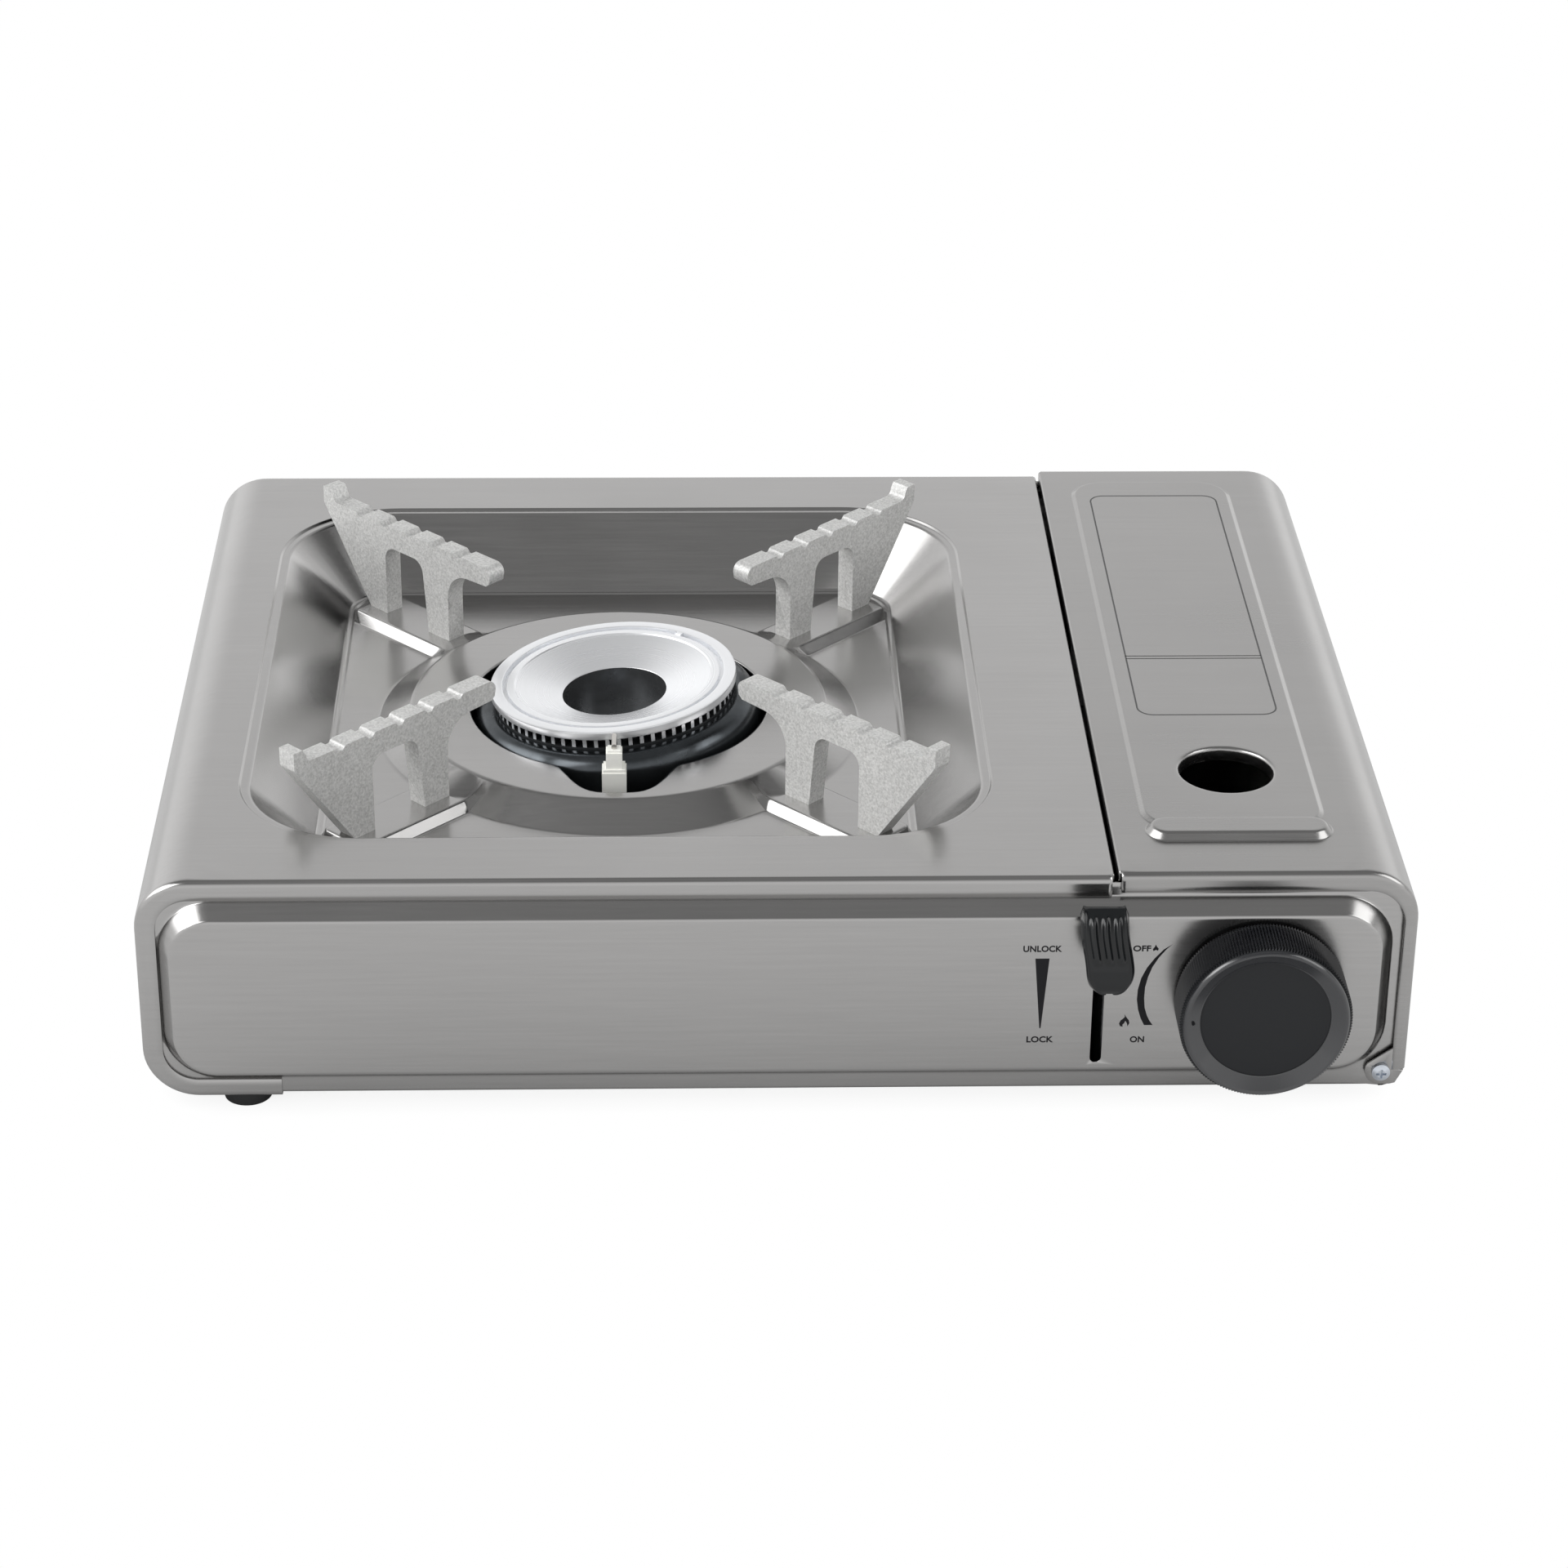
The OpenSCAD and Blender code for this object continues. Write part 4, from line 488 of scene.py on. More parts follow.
class STOVE_OT_materials(Operator):
    """Make the finishes and give them to the CAD nodes"""
    bl_idname = "stove.materials"
    bl_label = "Stove materials"

    def execute(self, context):
        looks = context.scene.stove_looks
        brushed, even, lathe = brushed_group(), grain_group(), lathe_group()
        centre = to_row(context.scene) @ Vector(BURNER_SEAT)
        finish_material("stainless", brushed, (0.425, 0.42, 0.415), 0.22, 1.0, looks.grain, {})
        finish_material("stainless_lid", brushed, (0.38, 0.375, 0.37), 0.24, 1.0, looks.grain, {})
        finish_material("turned_aluminium", lathe, (0.90, 0.91, 0.93), 0.26, 0.65, 0.03,
                        {"Centre": centre})

        # Colour, roughness, metallic, then the grain's scale, contrast and depth
        def grained(name, base, roughness, metallic, scale, contrast, depth, gloss=0.5, grain=0.5):
            finish_material(name, even, base, roughness, metallic, grain,
                            {"Scale": scale, "Contrast": contrast, "Depth": depth}, gloss)

        # Painted shade: a dark grey for the burner head's deep well, standing in for the shade
        # inside it
        grained("painted_shade_well", (0.155, 0.16, 0.165), 0.28, 0.8, 300.0, 0.5, 0.00003)
        # Painted shade: a darker grey for the flame slots between the teeth and the head's
        # underside, standing in for the shade there
        grained("painted_shade_slots", (0.06, 0.063, 0.066), 0.4, 0.7, 300.0, 0.5, 0.00003)
        grained("galvanised", (0.45, 0.46, 0.48), 0.35, 1.0, 160.0, 0.5, 0.00002)
        grained("zinc_bowl", (0.075, 0.083, 0.09), 0.26, 0.9, 250.0, 0.7, 0.00003)
        grained("cast_aluminium", (0.62, 0.62, 0.61), 0.5, 0.4, 1300.0, 1.2, 0.0002,
                grain=looks.cast_grain)
        grained("zinc_casting", (0.42, 0.42, 0.43), 0.45, 0.9, 700.0, 0.3, 0.00005)
        grained("zinc_screw", (0.62, 0.66, 0.72), 0.28, 1.0, 500.0, 0.2, 0.00002)
        grained("electrode_steel", (0.6, 0.58, 0.55), 0.3, 1.0, 900.0, 0.2, 0.00002)
        grained("white_ceramic", (0.97, 0.97, 0.92), 0.25, 0.0, 600.0, 0.04, 0.00001)
        grained("white_plastic", (0.8, 0.79, 0.75), 0.4, 0.0, 600.0, 0.04, 0.00002)
        grained("black_plastic", (0.02, 0.02, 0.022), 0.38, 0.0, 900.0, 0.2, 0.00002, 0.35)
        grained("knob_plastic", (0.011, 0.012, 0.014), 0.40, 0.0, 1400.0, 0.2, 0.00002, 0.3)
        grained("tab_plastic", (0.007, 0.008, 0.009), 0.16, 0.0, 1200.0, 0.2, 0.00001, 0.4, 0.6)
        # Real gloss and painted highlight: glossier than the knob's plastic and also lighter, so
        # the face cone and ridges read as catching light
        grained("knob_gloss_painted_highlight", (0.020, 0.021, 0.024), 0.17, 0.0, 1200.0, 0.2, 0.00001, 1.0, 0.3)
        grained("blackened_steel", (0.03, 0.03, 0.032), 0.4, 0.8, 700.0, 0.3, 0.00002)
        grained("brass", (0.62, 0.45, 0.18), 0.28, 1.0, 700.0, 0.2, 0.00002)
        grained("lead_rubber", (0.02, 0.02, 0.02), 0.6, 0.0, 900.0, 0.3, 0.00003)
        grained("foot_rubber", (0.018, 0.019, 0.02), 0.55, 0.0, 900.0, 0.3, 0.00004)
        grained("print_ink", (0.01, 0.01, 0.012), 0.6, 0.0, 1500.0, 0.3, 0.00001, 0.2)
        grained("faint_ink", (0.09, 0.09, 0.09), 0.5, 0.0, 1500.0, 0.3, 0.00001, 0.2)
        for name, nodes in NODE_FINISHES.items():
            for node in nodes:
                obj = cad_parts[node]
                if not obj.material_slots:
                    obj.data.materials.append(None)
                for item in obj.material_slots:
                    item.material = look(name)
        return {"FINISHED"}


# ---------------------------------------------------------------- top shell

def shell_profile(case, inset):
    """Across the case: curl, left side and top, as (x, z) pulled in by inset."""
    left, radius = -mm(case, "width") / 2, mm(case, "corner")
    low = -mm(case, "sheet") - 0.1
    high = mm(case, "height")
    cx = left + radius
    r = radius - inset
    curl = [(left + mm(case, "curl") - 4.5 * k, low + inset) for k in range(5)]
    side = [(left + inset, z) for z in span(low + radius, high - radius, 5)[1:-1]]
    return (curl + arc(cx, low + radius, r, 270, 180, BEND_STEPS) + side
            + arc(cx, high - radius, r, 180, 90, BEND_STEPS))


def rim_stations(y_end, radius, inset_end):
    """Stations from a rim flange over its bend: (distance from the middle, inset)."""
    out = [(y_end, inset_end), (y_end, radius + (inset_end - radius) * 0.5), (y_end, radius + 0.3)]
    for k in range(6):
        a = math.radians(90 * k / 5)
        out.append((y_end - radius + radius * math.cos(a), radius - radius * math.sin(a)))
    return out


def span(start, end, count):
    return [start + (end - start) * i / count for i in range(count + 1)]


def held(end):
    """Stations along the case with a narrow one beside each end."""
    return [-end] + span(-end + 0.8, end - 0.8, MIDDLE_COUNT - 2) + [end]


def along_case(ends, middle):
    """From the front flange over the middle to the rear flange: (y, insets...)."""
    flat = (0.0,) * (len(ends[0]) - 1)
    return ([(-y, *insets) for y, *insets in ends[:-1]] + [(y, *flat) for y in middle]
            + [(y, *insets) for y, *insets in reversed(ends[:-1])])


def split_lip(edge, side, top, drop):
    """The lip turned down along the split, towards a side: (x, height)."""
    turn = [(edge + side * LIP_BEND * math.sin(a), top - LIP_BEND + LIP_BEND * math.cos(a))
            for a in (0.4, 0.8, 1.2, math.pi / 2)]
    return [(edge, top)] + turn + [(edge + side * LIP_BEND, top - drop)]


def field_edge(xs, ys):
    """Closed outline of the field between the rows and columns of a sheet."""
    return ([(x, ys[0]) for x in xs] + [(xs[-1], y) for y in ys[1:]]
            + [(x, ys[-1]) for x in reversed(xs[:-1])] + [(xs[0], y) for y in reversed(ys[1:-1])])


def loft_path(bm, path, stations):
    """Draws a path of (x, height) along the case."""
    loft(bm, [[(x, y, z) for x, z in path] for y in stations])


def pressed_outline(box, u, steps, gap):
    """Outline of a rounded box (x0, x1, y0, y1, radius) drawn in by u."""
    return rounded(box[0] + u, box[1] - u, box[2] + u, box[3] - u, box[4] - u, steps, gap)


class RecessForm:
    """Outlines and heights of the pressed recess with its ring, ribs and notch."""

    def __init__(self, case, recess):
        def get(*names):
            return [mm(recess, name) for name in names]

        self.top = mm(case, "height")
        self.cx, self.cy, width, depth = get("centre_x", "centre_y", "width", "depth")
        self.half_w, self.half_d = width / 2, depth / 2
        self.drop, self.run, self.soft, self.corner, self.step = get(
            "drop", "run", "soft", "corner", "step")
        self.ring_foot, ring_top, ring_height = get("ring_foot", "ring_top", "ring_height")
        self.ring_border = (self.ring_foot - ring_top, ring_height) + RING_BENDS
        self.hole_r, self.reach, self.notch_w = get("hole", "notch_reach", "notch_width")
        self.rib_half, self.rib_end = get("rib_half", "rib_end")
        slope, rise = get("rib_slope", "rib_height")
        self.rib_border = (slope, rise) + RIB_BENDS
        self.rib_start = ring_top - 6
        self.hole = self.opening(0)

    def wall_outline(self, u):
        r = max(self.corner - u, 1)
        return rounded(self.cx - self.half_w + u, self.cx + self.half_w - u,
                       self.cy - self.half_d + u, self.cy + self.half_d - u, r, 18, 9)

    def wall_parts(self):
        """The wall's small step, its slope and the small step at its foot, as press arguments"""
        edge, foot, start = self.step, self.step * 0.7, 3.0
        return ((0.0, 0.8, edge, 0.5, 0.5),
                (start, self.run - start - 1.8, self.drop - edge - foot, self.soft, self.soft),
                (self.run - 0.6, 0.7, foot, 0.4, 0.4))

    def wall(self, u):
        return sum(press(u - start, *rest) for start, *rest in self.wall_parts())

    def opening(self, grow):
        """The burner opening with its notch towards the front."""
        half = self.notch_w / 2
        edge = -math.sqrt(self.hole_r ** 2 - half ** 2)
        deep = -self.reach - edge
        a0 = math.degrees(math.asin(half / self.hole_r))
        points = arc(0, 0, self.hole_r, 270 + a0, 270 + 360 - a0, 72)[:-1]
        for i in range(25):
            s = i / 12 - 1
            swell = max(math.cos(s * math.pi / 2), 0) ** 0.75
            points.append((s * half, edge + deep * (0.5 - 0.5 * math.cos(math.pi * swell))))
        out = []
        for i, p in enumerate(points):
            q0, q1 = points[i - 1], points[(i + 1) % len(points)]
            tx, ty = q1[0] - q0[0], q1[1] - q0[1]
            n = math.hypot(tx, ty) or 1
            out.append((self.cx + p[0] + grow * ty / n, self.cy + p[1] - grow * tx / n))
        return out

    def circle(self, radius):
        return arc(self.cx, self.cy, radius, 0, 360, 144)[:-1]

    def rib_outline(self, angle, u):
        a = math.radians(angle)
        flat = rounded(self.rib_start, self.rib_end - u, -self.rib_half + u, self.rib_half - u,
                       max(4.5 - u, 0.8), 6, 4)
        return [(self.cx + x * math.cos(a) - y * math.sin(a),
                 self.cy + x * math.sin(a) + y * math.cos(a)) for x, y in flat]

    def height(self, x, y):
        d = box_distance(x, y, self.cx - self.half_w, self.cx + self.half_w,
                         self.cy - self.half_d, self.cy + self.half_d, self.corner)
        down = self.wall(-d)
        if down < self.drop - 0.001:
            return self.top - down
        dx, dy = x - self.cx, y - self.cy
        radius = math.hypot(dx, dy)
        ring = press(self.ring_foot - radius, *self.ring_border)
        rib = 0.0
        for angle in RIB_ANGLES:
            a = math.radians(angle)
            t = dx * math.cos(a) + dy * math.sin(a)
            s = -dx * math.sin(a) + dy * math.cos(a)
            if t > 0 and abs(s) < self.rib_half + 3:
                inner = box_distance(t, s, self.rib_start - 20, self.rib_end, -self.rib_half,
                                     self.rib_half, 4.5)
                rib = max(rib, press(-inner, *self.rib_border))
        return self.top - self.drop + soft_max(ring, rib, 0.7)

    def near_hole(self, x, y):
        return min(math.hypot(x - px, y - py) for px, py in self.hole)

    def lines(self):
        out = [self.wall_outline(start + u) for start, *rest in self.wall_parts()
               for u in press_lines(*rest)[1:-1]]
        out += [self.circle(self.ring_foot - u) for u in press_lines(*self.ring_border)]
        for angle in RIB_ANGLES:
            out += [self.rib_outline(angle, u) for u in press_lines(*self.rib_border)]
        return out


class STOVE_OT_top_shell(Operator):
    """Press the top shell: one sheet with its recess, ring, ribs, notch and rim flanges"""
    bl_idname = "stove.top_shell"
    bl_label = "Top shell"

    def execute(self, context):
        case, recess = context.scene.stove_case, context.scene.stove_recess
        form = RecessForm(case, recess)
        end_y, bend = mm(case, "depth") / 2, mm(case, "bend")
        top, split = mm(case, "height"), mm(case, "split") - 0.5
        ends = rim_stations(end_y, bend, mm(case, "rim"))
        middle = held(end_y - bend)
        left = mm(case, "corner") - mm(case, "width") / 2
        across = span(left, split - 2.0, 27) + [split - LIP_BEND]
        bm = bmesh.new()
        rows = []
        for y, inset in along_case(ends, middle):
            rows.append([(x, y, z) for x, z in shell_profile(case, inset)]
                        + [(x, y, top - inset) for x in across[1:]])
        side = len(shell_profile(case, 0)) - 1
        first = len(ends) - 1
        loft(bm, rows, skip=lambda j, i: i >= side and first <= j < first + MIDDLE_COUNT)
        loft_path(bm, split_lip(split - LIP_BEND, 1, top, 5), middle)
        lines = form.lines() + [form.opening(g) for g in (1.0, 0.65, 0.3)]
        fill_field(bm, field_edge(across, middle), lines, [form.hole],
                   lambda x, y: (x, y, form.height(x, y)))
        # The edge of the opening bends down
        edge_r = 0.7
        for vert in bm.verts:
            if math.hypot(vert.co.x - form.cx, vert.co.y - form.cy) < form.reach + 2:
                near = form.near_hole(vert.co.x, vert.co.y)
                if near < 0.95:
                    short = edge_r - min(near * 0.72, edge_r)
                    vert.co.z -= edge_r - math.sqrt(max(0.49 - short ** 2, 0))
        face_out(bm, (form.cx, form.cy, 900))
        obj = new_piece(context, "shell_skin", bm, "stove", "stainless_shell",
                        ("stainless",), ("top_shell",), 60, False)
        thicken(obj, mm(case, "sheet"))
        return {"FINISHED"}


# ---------------------------------------------------------------- lid

class STOVE_OT_lid(Operator):
    """Press the cartridge lid with its panel, grip bar, finger hole and hinge lugs"""
    bl_idname = "stove.lid"
    bl_label = "Cartridge lid"

    def execute(self, context):
        case = context.scene.stove_case
        top = mm(case, "height") + mm(case, "lid_up")
        right, radius = mm(case, "width") / 2, mm(case, "corner")
        start = mm(case, "split") + 0.5
        end_y = mm(case, "depth") / 2 + mm(case, "sheet")
        bend = mm(case, "bend")
        cx, cz, foot = right - radius, top - radius, 6.4
        xs = [start + LIP_BEND] + span(start + 2.0, cx, 15)

        def across(inset, side_inset):
            turn = []
            for k in range(BEND_STEPS + 1):
                a = math.radians(90 * k / BEND_STEPS)
                r = radius - (inset * (1 - k / BEND_STEPS) + side_inset * k / BEND_STEPS)
                turn.append((cx + r * math.sin(a), cz + r * math.cos(a)))
            return ([(x, top - inset) for x in xs[:-1]] + turn
                    + [(right - side_inset, z) for z in span(cz, foot, 5)[1:]])

        ends = rim_stations(end_y, bend, mm(case, "rim"))
        sides = rim_stations(end_y, bend, mm(case, "lid_side"))
        middle = held(end_y - bend)
        full = [(y, i, s) for (y, i), (_, s) in zip(ends, sides)]
        bm = bmesh.new()
        rows = [[(x, y, z) for x, z in across(i, s)] for y, i, s in along_case(full, middle)]
        first, flat = len(ends) - 1, len(xs) - 1
        loft(bm, rows, skip=lambda j, i: i < flat and first <= j < first + MIDDLE_COUNT)
        loft_path(bm, split_lip(start + LIP_BEND, -1, top, 3), middle)
        # (x0, x1, y0, y1, corner radius), and (x, y, radius)
        panel = (107.0, 161.5, -117.4, 132.0, 12.0)
        grip = (107.6, 162.5, -123.8, -111.0, 6.35)
        hole = (135.5, -81.2, 14.0)
        hole_bend = 1.2

        def height(x, y):
            rise = max(press(-box_distance(x, y, *panel), *PANEL_BORDER),
                       press(-box_distance(x, y, *grip), *GRIP_BORDER))
            edge = math.hypot(x - hole[0], y - hole[1]) - hole[2]
            if edge < hole_bend:
                rise -= hole_bend - math.sqrt(max(1.44 - (hole_bend - max(edge, 0)) ** 2, 0))
            return top + rise

        lines = [pressed_outline(panel, u, 10, 8) for u in press_lines(*PANEL_BORDER)]
        lines += [pressed_outline(grip, u, 12, 5) for u in press_lines(*GRIP_BORDER)]
        lines += [arc(hole[0], hole[1], hole[2] + g, 0, 360, 64)[:-1]
                  for g in (2.0, hole_bend, 0.8, 0.45, 0.15)]
        opening = arc(*hole, 0, 360, 64)[:-1]
        fill_field(bm, field_edge(xs, middle), lines, [opening], lambda x, y: (x, y, height(x, y)))
        low = height(hole[0] + hole[2], hole[1])
        loft(bm, [[(x, y, low - z) for x, y in opening] for z in (0, 0.8, 3.0)], closed=True)
        face_out(bm, (135, 0, 900))
        obj = new_piece(context, "lid_skin", bm, "lid", "stainless_lid",
                        ("stainless_lid",), ("cartridge_lid",), 60, False)
        thicken(obj, mm(case, "sheet"))
        self.lugs(context, case, end_y, right)
        self.frame_lines(context, top + PANEL_BORDER[1])
        return {"FINISHED"}

    def frame_lines(self, context, z):
        """The plain printed frame on the panel, with its double divider"""
        box = (112.8, 156.2, -45.4, 119.0, 5.0)
        low, high, line = z + INK_GAP, z + INK_GAP + INK_HEIGHT, 0.5
        outer, inner = (pressed_outline(box, u, 8, 30) for u in (0, line))
        bm = bmesh.new()
        loft(bm, [[(x, y, h) for x, y in ring] for ring, h in
                  ((outer, low), (outer, high), (inner, high), (inner, low), (outer, low))],
             closed=True)
        for y in (-4.5, -6.3):
            place = Matrix.Translation((134.5, y, (low + high) / 2))
            bmesh.ops.create_cube(bm, size=1, matrix=place @ Matrix.Diagonal(
                (42.8, 0.45, INK_HEIGHT, 1)))
        closed_piece(context, "panel_frame", bm, "lid", "stainless_lid", ("faint_ink",), (), 30)

    def lugs(self, context, case, end_y, right):
        """The two lugs that hold the hinge screws"""
        hx, hz, foot = right - HINGE_IN, HINGE_Z, 6.4
        shape = ([(right - 4.2, foot), (right - 4.2, hz + 7.5)] + arc(hx, hz, 4.6, 150, 270, 8)
                 + [(right - 4.4, hz - 4.5), (right - 2.9, hz - 4.1), (right - 0.9, 6.0),
                    (right - 0.7, foot)])
        bore = arc(hx, hz, 1.56, 0, 360, 20)[:-1]
        bm = bmesh.new()
        for sign in SIDES:
            fill_field(bm, shape, [], [bore],
                       lambda x, z, s=sign: (min(x, right - 0.02), s * end_y, z))
        bmesh.ops.remove_doubles(bm, verts=bm.verts, dist=0.002)
        bmesh.ops.recalc_face_normals(bm, faces=bm.faces)
        for face in bm.faces:
            if face.normal.y * face.calc_center_median().y < 0:
                face.normal_flip()
        obj = new_piece(context, "lid_lugs", bm, "lid", "stainless_lid",
                        ("stainless_lid",), (), 40, False)
        thicken(obj, mm(case, "sheet"))


# ---------------------------------------------------------------- tray

class STOVE_OT_tray(Operator):
    """Press the tray: front and rear walls, floor with vents and the lip beside the hinge"""
    bl_idname = "stove.tray"
    bl_label = "Base tray"

    def execute(self, context):
        case = context.scene.stove_case
        left, right = -mm(case, "width") / 2, mm(case, "width") / 2
        wall_y = mm(case, "depth") / 2 - mm(case, "sheet")
        inset = mm(case, "bend") + 0.1
        top, rim = mm(case, "height") - inset, mm(case, "rim") + 0.3
        hx, hz, end_r = right - HINGE_IN, HINGE_Z, 6.1
        x0, wall_l, wall_r = left + mm(case, "corner"), left + inset, mm(case, "corner") - inset
        floor_r = 1.3
        border = (mm(case, "face_slope"), mm(case, "face_rise"), 1.4, 1.6)
        pad = (left + rim, hx + 0.4, 5.9, mm(case, "height") - rim, 16.0)
        xs = span(x0, hx, 36)
        wall = resample(
            arc(wall_l + wall_r, wall_r, wall_r, 180, 270, 10)[:-1]
            + [(x, floor_r) for x in xs[:-1]] + arc(hx, hz, end_r, 280, 360, 6)
            + arc(hx + end_r - wall_r, top - wall_r, wall_r, 0, 90, 10)
            + arc(wall_l + wall_r, top - wall_r, wall_r, 90, 180, 10)[:-1], 9)
        slot = capsule(LEVER_X, 14.0, 56.3, 1.7)
        knob_hole = arc(KNOB_X, KNOB_Z, 7, 0, 360, 32)[:-1]
        bore = arc(hx, hz, 1.6, 0, 360, 16)[:-1]
        bend = [(wall_y - floor_r + floor_r * math.sin(a), floor_r - floor_r * math.cos(a))
                for a in map(math.radians, (90, 68, 45, 22, 0))]
        bm = bmesh.new()
        for sign in SIDES:
            def place(x, z, s=sign):
                return (x, s * (wall_y + press(-box_distance(x, z, *pad), *border)), z)

            fill_field(bm, wall, [pressed_outline(pad, u, 14, 9) for u in press_lines(*border)],
                       [slot, knob_hole, bore] if sign < 0 else [bore], place)
        for sign in SIDES:
            loft(bm, [[(x, sign * y, z) for y, z in bend] for x in xs])
        vents = [vent(-47 + side * 62, -1.2 + i * 12) for side in SIDES for i in range(-3, 4)]
        vents += [vent(CARTRIDGE_X, -30 + i * 24) for i in range(-2, 3)]
        ys = span(-wall_y + floor_r, wall_y - floor_r, 24)
        fill_field(bm, field_edge(xs, ys), [], vents, lambda x, y: (x, y, 0))
        loft_path(bm, arc(hx, hz, end_r, 270, 360, 8) + [(hx + end_r, hz + 8)],
                  span(-wall_y, wall_y, 8))
        face_out(bm, (0, 0, -900))
        obj = new_piece(context, "tray_skin", bm, "stove", "stainless_tray",
                        ("stainless",), ("base_tray",), 60, False)
        thicken(obj, mm(case, "sheet"))
        return {"FINISHED"}


def capsule(x, low, high, half):
    return arc(x, high, half, 0, 180, 10) + arc(x, low, half, 180, 360, 10)


def vent(x, y):
    return arc(x + 15, y, 2, -90, 90, 8) + arc(x - 15, y, 2, 90, 270, 8)


# ---------------------------------------------------------------- pan supports

def support_outline():
    """Side view of a support: (distance from the burner's axis, height)."""
    pan, tip, leg, outer, rib = 85.7, 55.5, 75.8, 136.0, 53.2
    teeth = []
    for i in range(5):
        r = outer - 18 - i * 11.8
        teeth += [(r + 2.1, pan), (r + 1.5, pan - 0.45), (r + 0.8, pan - 1.3), (r - 0.8, pan - 1.3),
                  (r - 1.5, pan - 0.45), (r - 2.1, pan)]
    return (arc(tip + 3, pan - 3, 3, 90, 180, 6) + [(tip + 0.4, pan - 5.4), (tip + 1.8, pan - 6.6)]
            + arc(leg - 9.7, pan - 16.7, 9.7, 90, 0, 10)
            + [(leg, rib), (leg + 9.9, rib)]
            + arc(leg + 9.9 + 2 + 4.5, pan - 12.4, 4.5, 180, 90, 8)
            + arc(101.5, pan - 12.4, 4.5, 90, 0, 8)
            + [(106, rib), (114, rib), (outer - 0.8, pan - 2.6), (outer, pan - 1.2),
               (outer, pan + 4.3), (outer - 3.4, pan + 4.3)]
            + arc(outer - 7, pan + 2.4, 2.4, 0, -90, 5) + teeth)


class STOVE_OT_pan_supports(Operator):
    """Cast the four pan supports with soft edges"""
    bl_idname = "stove.pan_supports"
    bl_label = "Pan supports"

    def execute(self, context):
        recess = context.scene.stove_recess
        cx, cy = mm(recess, "centre_x"), mm(recess, "centre_y")
        thick = 6.5
        for name, angle in (("front_left", 225), ("front_right", 315), ("rear_left", 135),
                            ("rear_right", 45)):
            bm = bmesh.new()
            bm.faces.new([bm.verts.new((r, -thick / 2, z)) for r, z in support_outline()])
            raise_faces(bm, (0, thick, 0))
            bmesh.ops.recalc_face_normals(bm, faces=bm.faces)
            rims = [e for e in bm.edges if abs(e.verts[0].co.y - e.verts[1].co.y) < 0.01
                    and min(v.co.z for v in e.verts) > 53.3]
            bmesh.ops.bevel(bm, geom=rims, offset=0.75, segments=3, profile=0.5, material=-1,
                            affect="EDGES", clamp_overlap=True)
            turn = Matrix.Translation((cx, cy, 0)) @ Matrix.Rotation(math.radians(angle), 4, "Z")
            bmesh.ops.transform(bm, matrix=turn, verts=bm.verts)
            closed_piece(context, "cast_support_" + name, bm, "stove", "cast_aluminium",
                         ("cast_aluminium",), ("pan_support_" + name,), 50)
        return {"FINISHED"}


# ---------------------------------------------------------------- burner

def burner_seat():
    return Matrix.Translation(BURNER_SEAT) @ Matrix.Rotation(math.radians(-BURNER_LEAN), 4, "Y")


